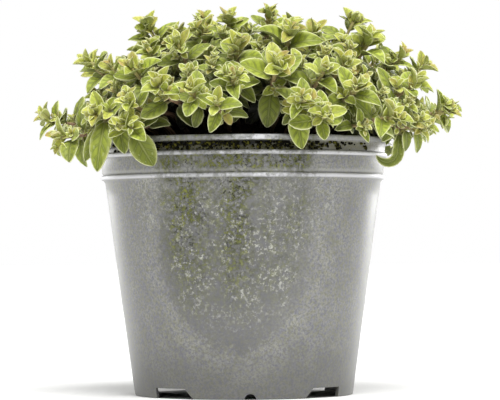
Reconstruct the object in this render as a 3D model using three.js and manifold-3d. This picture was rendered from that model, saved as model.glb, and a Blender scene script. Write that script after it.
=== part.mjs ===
// A bushy golden oregano plant in a round nursery pot.
// Units are millimetres and +Z is up. The origin is on the ground under the pot's centre.

import * as THREE from 'three';
import { mergeVertices } from 'three/addons/utils/BufferGeometryUtils.js';
import Module from 'manifold-3d';

const wasm = await Module();
wasm.setup();

// ---------------------------------------------------------------- driving dimensions

// Pot: outer shell, from the ground up.
const POT_HEIGHT = 102;
const RIM_RADIUS = 60;
const LIP_HEIGHT = 2.4;
const COLLAR_TOP_RADIUS = 57.3;
const COLLAR_FOOT_RADIUS = 56.3;
const UPPER_BEAD_Z = 95.3;
const UPPER_BEAD_RADIUS = 57.9;
const LOWER_BEAD_Z = 86.6;
const LOWER_BEAD_RADIUS = 56.9;
const BEAD_HALF_HEIGHT = 0.5;
const BODY_TOP_RADIUS = 55.3;
const BODY_FOOT_RADIUS = 43.6;
const BODY_TOP_Z = 85.7;
const STEP_DROP = 1;
const RIM_CORNER = 0.4;
const WALL = 1.2;
const POT_SEGMENTS = 32;

// Pot: raised base, skirt with notches, and drain holes.
const BASE_UNDERSIDE_Z = 4.4;
const BASE_THICKNESS = 1.2;
const FOOT_INNER_RADIUS = 41.9;
const FOOT_CORNER = 0.5;
const FOOT_TURN = -86.8;
const NOTCH_HEIGHT = 4;
const NOTCH_START = 29.9;
const NOTCH_START_TOP = 34.5;
const NOTCH_END = 54.6;
const NOTCH_CUT = 12;
const VENT_RADIUS = 2.3;
const VENT_CUT = 8;
const VENT_SIDES = 10;
const DRAIN_CIRCLE_RADIUS = 29;
const DRAIN_COUNT = 6;
const DRAIN_RADIUS = 3;
const DRAIN_SIDES = 6;

// Root ball.
const CLEARANCE = 0.35;
const SOIL_EDGE_Z = 96;
const SOIL_CREST = 14;
const SOIL_REACH = 54;
const SOIL_SEGMENTS = 16;
const SOIL_RINGS = [0.75, 0.5, 0.25, 0];
const STEM_HOLE_RADIUS = 2.1;
const STEM_HOLE_SIDES = 4;
const STEM_DEPTH = 6;

// Stems: square, as on all mints. The half width is from the axis to a corner.
const STEM_FOOT_HALF_WIDTH = 1.15;
const STEM_TIP_HALF_WIDTH = 0.9;
const STEM_SPACING = 3;
const STEM_FREE_HEIGHT = 4;
const STEM_SPREAD = 26.4;
const STEM_CURVE = 0.35;
const STEM_STEPS = [0, 0.4, 0.75, 1];
const STEM_TRIES = [
  [0, 1], [8, 1], [-8, 1], [0, 1.5], [8, 1.5], [-8, 1.5], [16, 1.5], [-16, 1.5],
  [0, 2], [8, 2], [-8, 2], [24, 2], [-24, 2], [0, 2.8], [12, 2.8], [-12, 2.8],
];

// The dome that the shoot tips lie on, wider to the right, and how they are spread over it.
const DOME_LEFT = 72;
const DOME_RIGHT = 82;
const DOME_DEPTH = 75;
const DOME_HEIGHT = 46;
const DOME_FOOT_Z = 104;
const LOWEST_TIP = -0.15;
const TIP_SPACING = 22.5;
const TIP_CANDIDATES = 377;
const CANDIDATE_STRIDE = 89;
const MOST_SHOOTS = 58;
const GOLDEN_ANGLE = Math.PI * (3 - Math.sqrt(5));
const LEAST_LIFT = -0.3;
const MOST_LIFT = 1.1;
const LEVEL_TIP_Z = 100;
const LIFT_RISE = 40;

// Leaves: least gap between two shoots, half the blade's thickness, and the distance from the root to
// the axis of its stem, which is well inside the stem. A blade turns its face to the light and rises.
const LEAF_GAP = 1.9;
const HALF_BLADE = 0.7;
const ROOT_OFFSET = 0.3;
const CLOUD_STEP = 1.3;
const BEAD_REACH = 2;
const LEAF_LIGHT = 0.9;
const LEAF_RISE = 0.25;

// Leaf outline: blunt base and blunt tip, widest a little below the middle. The edge has its
// corners at these shares of the length, and the blade is thickest at its middle.
const BASE_POWER = 0.5;
const TIP_POWER = 0.66;
const YOUNG_EDGE = [0.33, 0.74];
const OLD_EDGE = [0.28, 0.57, 0.83];
const LEAF_MIDDLE = 0.48;

// Where a leaf's blade is tested for its distance to the other shoots: along it and across it.
const TEST_ALONG = [0.2, 0.36, 0.52, 0.68, 0.84];
const TEST_ACROSS = [-1, -0.5, 0, 0.5, 1];

// How far a leaf may differ from its pair: turn and angle in degrees, and shares of its length.
const TURN_SPREAD = 5;
const ANGLE_SPREAD = 9;
const LENGTH_SPREAD = 0.12;
const BEND_SPREAD = 0.06;
const SEED_STEP = 7919;

// Leaf pairs from the tip down: distance down the stem, length, width for length, angle from
// the stem, how far the blade bends back, and how steeply its halves fold up.
const LEAF_PAIRS = [
  { down: 0.4, length: 7, width: 0.52, spread: 34, bend: 0.02, fold: 0.5 },
  { down: 2.5, length: 9.5, width: 0.57, spread: 54, bend: 0.06, fold: 0.42 },
  { down: 6, length: 11.5, width: 0.6, spread: 68, bend: 0.12, fold: 0.34 },
  { down: 10.5, length: 13, width: 0.62, spread: 80, bend: 0.2, fold: 0.28 },
  { down: 16, length: 13.5, width: 0.62, spread: 88, bend: 0.26, fold: 0.24 },
  { down: 22.5, length: 13, width: 0.62, spread: 94, bend: 0.3, fold: 0.2 },
];
const YOUNG_PAIRS = 2;
const SHADED_RADIUS = 35;

// What a leaf may try, in turn, to keep clear of the other shoots: turn about its stem, and size.
const LEAF_TRIES = [
  [0, 1], [-16, 1], [16, 1], [0, 0.8], [-28, 0.85], [28, 0.85], [0, 0.62], [-40, 0.7], [40, 0.7],
];

// Two corners of a solid nearer than this could be taken for one. A stem then grows by a hair.
const CORNER_GAP = 1e-3;
const HAIR = 0.02;
const HAIRS = [0, 1, 2, 3, 4, 5];

// Shoots on the front half, placed by hand: x, y and z of the tip, size, and lift towards upright.
const FRONT_SHOOTS = [
  [12.9, -64, 127.3, 1.15, 1.1],
  [-19.3, -69, 117.9, 0.9, 0.5],
  [-31.6, -62, 120.6, 1, 0.9],
  [57.6, -53, 108.4, 0.95, 0.25],
  [44.7, -58, 119.3, 0.95, 0.5],
  [-55.6, -46, 111, 1, 0.3],
  [31.4, -69, 108.1, 0.85, 0.35],
  [18.7, -40, 141.7, 1.1, 1.2],
  [50.4, -16, 139.9, 1.05, 1.2],
  [-1.9, -55, 135.6, 0.95, 1],
  [-60.2, -18, 132.2, 0.85, 0.8],
  [-79.2, 4, 111, 0.85, 0.5],
  [-71.1, -28, 102.1, 0.9, 0.15],
  [-37.1, -12, 146.6, 1.05, 1.2],
  [-15.6, -34, 143.6, 0.8, 1.2],
  [-5.5, -18, 148.5, 0.95, 1.5],
  [10.8, -10, 151.1, 0.8, 2],
  [44.5, -6, 148.6, 0.8, 1.5],
  [63.3, -12, 134.6, 0.8, 1],
  [72.6, -4, 131.1, 0.8, 0.8],
  [68.2, -30, 122.4, 1, 0.5],
  [81.4, -20, 112, 0.85, 0.1],
  [69.5, -34, 105.4, 0.7, 0.2],
  [30.9, -60, 125.6, 0.9, 0.8],
  [28.2, -31, 142.7, 0.9, 1],
  [39.2, -51, 129.2, 0.8, 0.9],
  [-24.8, -45, 137.4, 0.8, 1],
  [-42.5, -46, 128, 0.9, 0.9],
  [-3.8, -69, 122.4, 0.8, 0.5],
  [-9.8, -74, 112.8, 0.8, 0.3],
  [23.4, -70, 114.1, 0.8, 0.3],
  [-45.5, -58, 104.4, 0.9, 0.1],
  [-43.2, -58, 113.9, 0.9, 0.4],
  [-50.8, -34, 129.2, 0.75, 0.9],
];

// Leaves that hang over the rim: shoot, distance down its stem, x, y and z of the leaf's tip,
// width for length, bend and fold. They face forwards more than outwards.
const FACE_SIDEWAYS = 0.4;
const HANGING_LEAVES = [
  [31, 5, -35, -54, 90, 0.66, 0.05, 0.12],
  [5, 4, -56.5, -52, 90, 0.42, 0.04, 0.3],
  [5, 7, -61, -42, 92.5, 0.38, 0.04, 0.3],
  [12, 5, -68, -36, 94, 0.7, 0.02, 0.2],
  [22, 9, 58, -28, 88.5, 0.36, -0.1, 0.25],
  [30, 12, 23, -63, 97, 0.55, 0.1, 0.1],
];

// ---------------------------------------------------------------- small helpers

const ALONG_X = new THREE.Vector3(1, 0, 0);
const ALONG_Y = new THREE.Vector3(0, 1, 0);
const UP = new THREE.Vector3(0, 0, 1);
const radians = THREE.MathUtils.degToRad;

// A repeatable stream of numbers from 0 to 1, from a linear congruential generator.
const LCG_MULTIPLIER = 1664525;
const LCG_INCREMENT = 1013904223;
const LCG_RANGE = 2 ** 32;

function seeded(seed) {
  let state = seed;
  return () => {
    state = (Math.imul(state, LCG_MULTIPLIER) + LCG_INCREMENT) >>> 0;
    return state / LCG_RANGE;
  };
}

function toSolid(geometry) {
  const bare = geometry.clone();
  bare.deleteAttribute('normal');
  bare.deleteAttribute('uv');
  const merged = mergeVertices(bare, 1e-4);
  return new wasm.Manifold(new wasm.Mesh({
    numProp: 3,
    vertProperties: Float32Array.from(merged.attributes.position.array),
    triVerts: Uint32Array.from(merged.index.array),
  }));
}

function toGeometry(solid) {
  const mesh = solid.getMesh();
  const geometry = new THREE.BufferGeometry();
  geometry.setAttribute('position', new THREE.BufferAttribute(mesh.vertProperties, 3));
  geometry.setIndex(new THREE.BufferAttribute(mesh.triVerts, 1));
  geometry.computeVertexNormals();
  return geometry;
}

// A profile of [radius, height] points turned about the Z axis.
function turned(profile, segments) {
  const points = profile.map(([radius, height]) => new THREE.Vector2(radius, height));
  return new THREE.LatheGeometry(points, segments).rotateX(Math.PI / 2);
}

// An upright cylinder whose lower end is at height z.
function uprightCylinder(x, y, z, radius, height, sides) {
  const geometry = new THREE.CylinderGeometry(radius, radius, height, sides);
  return geometry.rotateX(Math.PI / 2).translate(x, y, z + height / 2);
}

// ---------------------------------------------------------------- pot

function bodyRadius(z) {
  return BODY_FOOT_RADIUS + (BODY_TOP_RADIUS - BODY_FOOT_RADIUS) * z / BODY_TOP_Z;
}

function collarRadius(z) {
  const share = (z - LOWER_BEAD_Z) / (POT_HEIGHT - LOWER_BEAD_Z);
  return COLLAR_FOOT_RADIUS + (COLLAR_TOP_RADIUS - COLLAR_FOOT_RADIUS) * share;
}

// A bead runs round the collar and falls back to it as far above and below as it is high.
function bead(z, radius) {
  const above = z + 2 * BEAD_HALF_HEIGHT;
  return [
    [radius, z - BEAD_HALF_HEIGHT],
    [radius, z + BEAD_HALF_HEIGHT],
    [collarRadius(above), above],
  ];
}

function potShell() {
  const baseTop = BASE_UNDERSIDE_Z + BASE_THICKNESS;
  const lipFoot = POT_HEIGHT - LIP_HEIGHT;
  const upperBeadFoot = UPPER_BEAD_Z - 2 * BEAD_HALF_HEIGHT;
  const profile = [
    [0, BASE_UNDERSIDE_Z],
    [bodyRadius(BASE_UNDERSIDE_Z) - WALL, BASE_UNDERSIDE_Z],
    [FOOT_INNER_RADIUS, 0],
    [BODY_FOOT_RADIUS - FOOT_CORNER, 0],
    [bodyRadius(FOOT_CORNER), FOOT_CORNER],
    [BODY_TOP_RADIUS, BODY_TOP_Z],
    ...bead(LOWER_BEAD_Z, LOWER_BEAD_RADIUS),
    [collarRadius(upperBeadFoot), upperBeadFoot],
    ...bead(UPPER_BEAD_Z, UPPER_BEAD_RADIUS),
    [collarRadius(lipFoot), lipFoot],
    [RIM_RADIUS, lipFoot],
    [RIM_RADIUS, POT_HEIGHT - RIM_CORNER],
    [RIM_RADIUS - RIM_CORNER, POT_HEIGHT],
    [COLLAR_TOP_RADIUS - WALL, POT_HEIGHT],
    [COLLAR_FOOT_RADIUS - WALL, LOWER_BEAD_Z],
    [BODY_TOP_RADIUS - WALL, BODY_TOP_Z - STEP_DROP],
    [bodyRadius(baseTop) - WALL, baseTop],
    [0, baseTop],
  ];
  return turned(profile, POT_SEGMENTS);
}

// One foot notch. It has an upright side at the narrow foot and a slanted one at the wide foot.
function footNotch(side, turn) {
  const middle = (NOTCH_START + NOTCH_END) / 2;
  const slant = (NOTCH_START_TOP - NOTCH_START) / NOTCH_HEIGHT;
  const across = (angle) => side * BODY_FOOT_RADIUS * Math.sin(radians(angle - middle));
  const outline = new THREE.Shape([
    new THREE.Vector2(across(NOTCH_START - slant), -1),
    new THREE.Vector2(across(NOTCH_END), -1),
    new THREE.Vector2(across(NOTCH_END), NOTCH_HEIGHT),
    new THREE.Vector2(across(NOTCH_START_TOP), NOTCH_HEIGHT),
  ]);
  const geometry = new THREE.ExtrudeGeometry(outline, { depth: NOTCH_CUT, bevelEnabled: false });
  geometry.translate(0, 0, BODY_FOOT_RADIUS - NOTCH_CUT / 2);
  geometry.applyMatrix4(new THREE.Matrix4().makeBasis(ALONG_Y, UP, ALONG_X));
  return geometry.rotateZ(radians(FOOT_TURN + turn + side * middle));
}

function footVent(turn) {
  const vent = new THREE.CylinderGeometry(VENT_RADIUS, VENT_RADIUS, VENT_CUT, VENT_SIDES);
  return vent.translate(0, BODY_FOOT_RADIUS, 0).rotateZ(radians(FOOT_TURN + turn - 90));
}

function drainHole(circle, angle) {
  const x = circle * Math.cos(angle);
  const y = circle * Math.sin(angle);
  const height = 3 * BASE_THICKNESS;
  return uprightCylinder(x, y, BASE_UNDERSIDE_Z - BASE_THICKNESS, DRAIN_RADIUS, height, DRAIN_SIDES);
}

function potCutters() {
  const cutters = [drainHole(0, 0)];
  for (const turn of [0, 180]) {
    cutters.push(footNotch(1, turn), footNotch(-1, turn), footVent(turn), footVent(turn + 90));
  }
  for (let i = 0; i < DRAIN_COUNT; i += 1) {
    cutters.push(drainHole(DRAIN_CIRCLE_RADIUS, 2 * Math.PI * i / DRAIN_COUNT));
  }
  return cutters.map(toSolid);
}

function potGeometry() {
  return toGeometry(toSolid(potShell()).subtract(wasm.Manifold.union(potCutters())));
}

// ---------------------------------------------------------------- soil

function soilTop(radius) {
  return SOIL_EDGE_Z + SOIL_CREST * (1 - (radius / SOIL_REACH) ** 2);
}

function soilGeometry(shoots) {
  const floor = BASE_UNDERSIDE_Z + BASE_THICKNESS + CLEARANCE;
  const edge = collarRadius(SOIL_EDGE_Z) - WALL - CLEARANCE;
  const profile = [
    [0, floor],
    [bodyRadius(floor) - WALL - CLEARANCE, floor],
    [BODY_TOP_RADIUS - WALL - CLEARANCE, BODY_TOP_Z - STEP_DROP],
    [COLLAR_FOOT_RADIUS - WALL - CLEARANCE, LOWER_BEAD_Z],
    [edge, SOIL_EDGE_Z],
    ...SOIL_RINGS.map((share) => [edge * share, soilTop(edge * share)]),
  ];
  const holes = shoots.map((shoot) => {
    const { x, y, z } = shoot.path[0];
    const floorOfHole = z - STEM_DEPTH - CLEARANCE;
    const height = STEM_DEPTH + SOIL_CREST;
    return toSolid(uprightCylinder(x, y, floorOfHole, STEM_HOLE_RADIUS, height, STEM_HOLE_SIDES));
  });
  return toGeometry(toSolid(turned(profile, SOIL_SEGMENTS)).subtract(wasm.Manifold.union(holes)));
}

// ---------------------------------------------------------------- keeping clear

// Points already taken, in cubes whose side is the largest distance that is asked about.
class Crowd {
  constructor(cell) {
    this.cell = cell;
    this.cubes = new Map();
  }

  cube(point) {
    return [point.x, point.y, point.z].map((value) => Math.floor(value / this.cell));
  }

  add(points, owner) {
    for (const point of points) {
      const key = this.cube(point).join();
      if (!this.cubes.has(key)) this.cubes.set(key, []);
      this.cubes.get(key).push({ point, owner });
    }
  }

  // True if a point of another owner lies nearer than the gap to any of these points.
  touches(points, owner, gap) {
    return points.some((point) => this.neighbours(point).some(
      (other) => other.owner !== owner && other.point.distanceTo(point) < gap,
    ));
  }

  neighbours(point) {
    const [cx, cy, cz] = this.cube(point);
    const found = [];
    for (let x = cx - 1; x <= cx + 1; x += 1) {
      for (let y = cy - 1; y <= cy + 1; y += 1) {
        for (let z = cz - 1; z <= cz + 1; z += 1) {
          found.push(...(this.cubes.get([x, y, z].join()) ?? []));
        }
      }
    }
    return found;
  }
}

// True if a point is inside the pot or soil, or nearer to them than the margin.
function inPotOrSoil(point, margin) {
  const radius = Math.hypot(point.x, point.y);
  if (radius < COLLAR_TOP_RADIUS - WALL - margin) return point.z < soilTop(radius) + margin;
  if (point.z > POT_HEIGHT + margin) return false;
  const underLip = point.z < POT_HEIGHT - LIP_HEIGHT - margin;
  const wall = Math.min(bodyRadius(point.z) + BEAD_REACH, UPPER_BEAD_RADIUS);
  return radius < (underLip ? wall : RIM_RADIUS) + margin;
}

// ---------------------------------------------------------------- stems

function domeWidth(x) {
  return x < 0 ? DOME_LEFT : DOME_RIGHT;
}

function outward(tip, lift) {
  const direction = new THREE.Vector3(
    tip.x / domeWidth(tip.x) ** 2,
    tip.y / DOME_DEPTH ** 2,
    (tip.z - DOME_FOOT_Z) / DOME_HEIGHT ** 2,
  ).normalize();
  return direction.addScaledVector(UP, lift).normalize();
}

// The hand-placed tips, then tips spread evenly over what they leave bare.
function shootTips() {
  const tips = FRONT_SHOOTS.map(([x, y, z, size, lift]) => (
    { at: new THREE.Vector3(x, y, z), size, lift }
  ));
  for (let i = 0; i < TIP_CANDIDATES; i += 1) {
    const step = (i * CANDIDATE_STRIDE) % TIP_CANDIDATES;
    const height = 1 - (1 - LOWEST_TIP) * (step + 0.5) / TIP_CANDIDATES;
    const width = Math.sqrt(1 - height ** 2);
    const x = width * Math.cos(step * GOLDEN_ANGLE);
    const y = width * Math.sin(step * GOLDEN_ANGLE);
    const z = DOME_FOOT_Z + DOME_HEIGHT * height;
    const at = new THREE.Vector3(domeWidth(x) * x, DOME_DEPTH * y, z);
    const clear = tips.every((tip) => tip.at.distanceTo(at) >= TIP_SPACING);
    const lift = THREE.MathUtils.clamp((at.z - LEVEL_TIP_Z) / LIFT_RISE, LEAST_LIFT, MOST_LIFT);
    if (clear && tips.length < MOST_SHOOTS) tips.push({ at, size: 1, lift });
  }
  return tips;
}

// A stem's axis from the soil to its tip, as a few straight lengths of one curve.
function stemPath(tip, direction, turn, rise) {
  const outwards = Math.hypot(tip.x, tip.y) / DOME_RIGHT;
  const upwards = (tip.z - DOME_FOOT_Z) / DOME_HEIGHT;
  const radius = STEM_SPREAD * Math.atan2(outwards, upwards);
  const azimuth = Math.atan2(tip.y, tip.x) + radians(turn);
  const foot = new THREE.Vector3(
    radius * Math.cos(azimuth),
    radius * Math.sin(azimuth),
    soilTop(radius),
  );
  const reach = STEM_CURVE * foot.distanceTo(tip);
  const curve = new THREE.CubicBezierCurve3(
    foot,
    foot.clone().addScaledVector(UP, reach * rise),
    tip.clone().addScaledVector(direction, -reach),
    tip,
  );
  return STEM_STEPS.map((step) => curve.getPoint(step));
}

// The place and heading on a path at a distance back from its end.
function downStem(path, distance) {
  let left = distance;
  for (let i = path.length - 1; i > 0; i -= 1) {
    const length = path[i].distanceTo(path[i - 1]);
    const heading = path[i].clone().sub(path[i - 1]).divideScalar(length);
    if (left <= length || i === 1) {
      return { at: path[i].clone().addScaledVector(heading, -left), heading };
    }
    left -= length;
  }
  return null;
}

function stemCloud(path) {
  const points = [];
  for (let i = 1; i < path.length; i += 1) {
    const steps = Math.ceil(path[i].distanceTo(path[i - 1]) / CLOUD_STEP);
    for (let k = 0; k < steps; k += 1) points.push(path[i - 1].clone().lerp(path[i], k / steps));
  }
  points.push(path.at(-1));
  return points;
}

function placeStems() {
  const crowd = new Crowd(STEM_SPACING);
  return shootTips().map((tip, index) => {
    const random = seeded(SEED_STEP * (index + 1));
    random();
    random();
    const direction = outward(tip.at, tip.lift);
    const paths = STEM_TRIES.map(([turn, rise]) => stemPath(tip.at, direction, turn, rise));
    const free = (path) => {
      const cloud = stemCloud(path);
      const above = cloud.filter((point) => point.distanceTo(path[0]) > STEM_FREE_HEIGHT);
      return !above.some((point) => inPotOrSoil(point, STEM_FOOT_HALF_WIDTH + CLEARANCE))
        && !crowd.touches(cloud, index, STEM_SPACING);
    };
    const path = paths.find(free) ?? paths[0];
    crowd.add(stemCloud(path), index);
    return { index, size: tip.size, path, roll: 360 * random(), random };
  });
}

// ---------------------------------------------------------------- leaves

// Half width of the blade along its length, as a share of its widest.
function outline(t) {
  const widest = BASE_POWER / (BASE_POWER + TIP_POWER);
  const swell = (place) => place ** BASE_POWER * (1 - place) ** TIP_POWER;
  return swell(t) / swell(widest);
}

// A leaf's random draws are taken once, so that a try changes only its turn and size.
function drawLeaf(shoot, pairIndex, opposite) {
  const spread = () => 2 * shoot.random() - 1;
  const pair = LEAF_PAIRS[pairIndex];
  return {
    pair,
    young: pairIndex < YOUNG_PAIRS,
    turn: shoot.roll + 90 * pairIndex + 180 * opposite + TURN_SPREAD * spread(),
    spread: pair.spread + ANGLE_SPREAD * spread(),
    length: pair.length * shoot.size * (1 + LENGTH_SPREAD * spread()),
    bend: pair.bend + BEND_SPREAD * spread(),
  };
}

function growLeaf(shoot, draw, turn, size) {
  const { at, heading } = downStem(shoot.path, draw.pair.down * shoot.size);
  const tipHeading = downStem(shoot.path, 0).heading;
  const level = new THREE.Vector3().crossVectors(tipHeading, UP);
  const across = level.addScaledVector(heading, -level.dot(heading)).normalize();
  const over = new THREE.Vector3().crossVectors(heading, across);
  const around = radians(draw.turn + turn);
  const spread = radians(draw.spread);
  const along = heading.clone().multiplyScalar(Math.cos(spread))
    .addScaledVector(across, Math.cos(around) * Math.sin(spread))
    .addScaledVector(over, Math.sin(around) * Math.sin(spread))
    .addScaledVector(UP, LEAF_RISE)
    .normalize();
  const face = heading.clone().addScaledVector(UP, LEAF_LIGHT);
  face.addScaledVector(along, -face.dot(along)).normalize();
  const length = draw.length * size;
  return {
    root: at.clone().addScaledVector(along, ROOT_OFFSET),
    along,
    face,
    side: new THREE.Vector3().crossVectors(along, face),
    length,
    halfWidth: 0.5 * length * draw.pair.width,
    bend: draw.bend,
    fold: draw.pair.fold,
    young: draw.young,
  };
}

// A leaf from a distance down a stem to a tip, facing away from the pot.
function hangingLeaf(shoot, down, tip, width, bend, fold) {
  const { at } = downStem(shoot.path, down);
  const length = at.distanceTo(tip);
  const along = tip.clone().sub(at).divideScalar(length);
  const face = new THREE.Vector3(FACE_SIDEWAYS * tip.x, tip.y, 0).normalize();
  face.addScaledVector(along, -face.dot(along)).normalize();
  return {
    root: at.clone().addScaledVector(along, ROOT_OFFSET),
    along,
    face,
    side: new THREE.Vector3().crossVectors(along, face),
    length,
    halfWidth: 0.5 * length * width,
    bend,
    fold,
    young: false,
  };
}

// A point of a leaf: t along it, s across it from -1 to 1, and its height over the blade.
function leafPoint(leaf, t, s, height) {
  const across = s * leaf.halfWidth * outline(t);
  const rise = leaf.fold * Math.abs(across) - leaf.bend * leaf.length * t ** 2 + height;
  return leaf.root.clone()
    .addScaledVector(leaf.along, leaf.length * t)
    .addScaledVector(leaf.side, across)
    .addScaledVector(leaf.face, rise);
}

function leafCloud(leaf) {
  const points = [];
  for (const t of TEST_ALONG) {
    for (const s of TEST_ACROSS) points.push(leafPoint(leaf, t, s, 0));
  }
  points.push(leafPoint(leaf, 1, 0, 0));
  return points;
}

// A thin lens: two fans with the same triangles, which meet along the leaf's edge.
function leafGeometry(leaf) {
  const edge = leaf.young ? YOUNG_EDGE : OLD_EDGE;
  const rim = [
    leafPoint(leaf, 0, 0, 0),
    ...edge.map((t) => leafPoint(leaf, t, 1, 0)),
    leafPoint(leaf, 1, 0, 0),
    ...edge.toReversed().map((t) => leafPoint(leaf, t, -1, 0)),
  ];
  const upper = rim.length;
  const lower = upper + 1;
  const index = rim.flatMap((_, i) => {
    const next = (i + 1) % rim.length;
    return [i, next, upper, next, i, lower];
  });
  const geometry = new THREE.BufferGeometry().setFromPoints([
    ...rim,
    leafPoint(leaf, LEAF_MIDDLE, 0, HALF_BLADE),
    leafPoint(leaf, LEAF_MIDDLE, 0, -HALF_BLADE),
  ]);
  return geometry.setIndex(index);
}

// Stems in the middle of the bush have lost their lowest pair in the shade.
function pairCount(shoot) {
  const tip = shoot.path.at(-1);
  return Math.hypot(tip.x, tip.y) < SHADED_RADIUS ? LEAF_PAIRS.length - 1 : LEAF_PAIRS.length;
}

// First the hanging leaves, then the youngest pairs over the whole plant and on to the oldest,
// each leaf where it clears the other shoots.
function placeLeaves(shoots) {
  const crowd = new Crowd(LEAF_GAP);
  for (const shoot of shoots) {
    shoot.leaves = [];
    crowd.add(stemCloud(shoot.path), shoot.index);
  }
  for (const [number, down, x, y, z, width, bend, fold] of HANGING_LEAVES) {
    const shoot = shoots[number];
    const leaf = hangingLeaf(shoot, down, new THREE.Vector3(x, y, z), width, bend, fold);
    crowd.add(leafCloud(leaf), number);
    shoot.leaves.push(leaf);
  }
  LEAF_PAIRS.forEach((pair, pairIndex) => {
    for (const shoot of shoots.filter((each) => pairIndex < pairCount(each))) {
      for (const opposite of [0, 1]) {
        const draw = drawLeaf(shoot, pairIndex, opposite);
        const leaves = LEAF_TRIES.map(([turn, size]) => growLeaf(shoot, draw, turn, size));
        const leaf = leaves.find((each) => {
          const cloud = leafCloud(each);
          return !cloud.some((point) => inPotOrSoil(point, LEAF_GAP))
            && !crowd.touches(cloud, shoot.index, LEAF_GAP);
        });
        if (leaf) {
          crowd.add(leafCloud(leaf), shoot.index);
          shoot.leaves.push(leaf);
        }
      }
    }
  });
}

// ---------------------------------------------------------------- leafy stems

// A square bar bent along the stem's path, thinner towards its tip, with a leaf row on each side.
function stemGeometry(path, roll, swell) {
  const rings = [path[0].clone().addScaledVector(UP, -STEM_DEPTH), ...path];
  const last = rings.length - 1;
  const square = new THREE.Shape([0, 1, 2, 3].map((corner) => {
    const angle = radians(roll + 45 + 90 * corner);
    return new THREE.Vector2(Math.cos(angle), Math.sin(angle));
  }));
  const bar = new THREE.ExtrudeGeometry(square, { depth: last, steps: last, bevelEnabled: false });
  const place = bar.attributes.position;
  const headings = rings.map((ring, i) => {
    const before = rings[Math.max(i - 1, 0)];
    const after = rings[Math.min(i + 1, last)];
    return after.clone().sub(before).normalize();
  });
  headings[0] = UP;
  headings[1] = UP;
  const level = new THREE.Vector3().crossVectors(headings[last], UP);
  for (let i = 0; i < place.count; i += 1) {
    const ring = Math.round(place.getZ(i));
    const heading = headings[ring];
    const across = level.clone().addScaledVector(heading, -level.dot(heading)).normalize();
    const over = new THREE.Vector3().crossVectors(heading, across);
    const taper = THREE.MathUtils.lerp(STEM_FOOT_HALF_WIDTH, STEM_TIP_HALF_WIDTH, ring / last);
    const thickness = taper * swell;
    const point = rings[ring].clone()
      .addScaledVector(across, thickness * place.getX(i))
      .addScaledVector(over, thickness * place.getY(i));
    place.setXYZ(i, point.x, point.y, point.z);
  }
  return bar;
}

// True if no two corners lie so near each other that they could be taken for one.
function cornersApart(geometry) {
  const bare = geometry.clone().deleteAttribute('normal');
  const merged = mergeVertices(bare, CORNER_GAP);
  return merged.attributes.position.count === geometry.attributes.position.count;
}

// Where a leaf cuts the stem too near a corner, the stem is made a hair thicker.
function shootGeometry(shoot) {
  const leaves = shoot.leaves.map((leaf) => toSolid(leafGeometry(leaf)));
  let geometry = null;
  for (const hairs of HAIRS) {
    const stem = toSolid(stemGeometry(shoot.path, shoot.roll, 1 + hairs * HAIR));
    geometry = toGeometry(wasm.Manifold.union([stem, ...leaves]));
    if (cornersApart(geometry)) break;
  }
  return geometry;
}

// ---------------------------------------------------------------- materials and scene graph

function matte(color, roughness) {
  return new THREE.MeshStandardMaterial({ color, roughness, metalness: 0 });
}

const LEAF_COLOURS = ['#93a04f', '#a3ad5a', '#889748', '#adb562'];

const plant = new THREE.Group();

function addPiece(name, geometry, material) {
  const piece = new THREE.Mesh(geometry, material);
  piece.name = name;
  plant.add(piece);
}

const shoots = placeStems();
placeLeaves(shoots);

addPiece('pot', potGeometry(), matte('#84857f', 0.6));
addPiece('soil', soilGeometry(shoots), matte('#2a211a', 1));
for (const shoot of shoots) {
  const name = `leafy_stem_${String(shoot.index + 1).padStart(2, '0')}`;
  const colour = LEAF_COLOURS[shoot.index % LEAF_COLOURS.length];
  addPiece(name, shootGeometry(shoot), matte(colour, 0.7));
}

export default plant;
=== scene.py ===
"""A bushy golden oregano plant in a round nursery pot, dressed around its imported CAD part.

Sizes are in millimetres and angles in degrees. Meshes turn them into Blender's metres.
"""

import math
from dataclasses import dataclass, field
from functools import lru_cache

import bpy
import numpy as np
from mathutils import Matrix, Vector, noise


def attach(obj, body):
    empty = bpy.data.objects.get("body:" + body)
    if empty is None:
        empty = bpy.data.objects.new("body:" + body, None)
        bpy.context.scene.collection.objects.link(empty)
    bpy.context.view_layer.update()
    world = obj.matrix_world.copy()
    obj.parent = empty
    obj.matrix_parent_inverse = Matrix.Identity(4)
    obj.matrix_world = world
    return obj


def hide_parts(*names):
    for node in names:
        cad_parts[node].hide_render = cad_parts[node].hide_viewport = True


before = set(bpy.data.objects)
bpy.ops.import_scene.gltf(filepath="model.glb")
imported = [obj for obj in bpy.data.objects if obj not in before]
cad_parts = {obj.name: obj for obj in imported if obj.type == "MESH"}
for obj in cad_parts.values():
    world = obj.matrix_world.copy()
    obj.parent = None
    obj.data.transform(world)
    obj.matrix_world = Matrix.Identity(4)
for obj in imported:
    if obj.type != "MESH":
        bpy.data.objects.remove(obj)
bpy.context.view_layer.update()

MM = 0.001

# ---- sizes of the CAD part

POT_HEIGHT = 102.0
RIM_RADIUS = 60.0
LIP_HEIGHT = 2.4
COLLAR_TOP_RADIUS = 57.3
COLLAR_FOOT_RADIUS = 56.3
UPPER_BEAD_Z = 95.3
UPPER_BEAD_RADIUS = 57.9
LOWER_BEAD_Z = 86.6
LOWER_BEAD_RADIUS = 56.9
BODY_TOP_RADIUS = 55.3
BODY_FOOT_RADIUS = 43.6
BODY_TOP_Z = 85.7
WALL = 1.2
BASE_UNDERSIDE_Z = 4.4
BASE_THICKNESS = 1.2
FOOT_INNER_RADIUS = 41.9
FOOT_TURN = -86.8
NOTCH_HEIGHT = 4.0
NOTCH_START = 29.9
NOTCH_START_TOP = 34.5
NOTCH_END = 54.6
VENT_RADIUS = 2.3
DRAIN_CIRCLE_RADIUS = 29.0
DRAIN_COUNT = 6
DRAIN_RADIUS = 3.0

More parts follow.
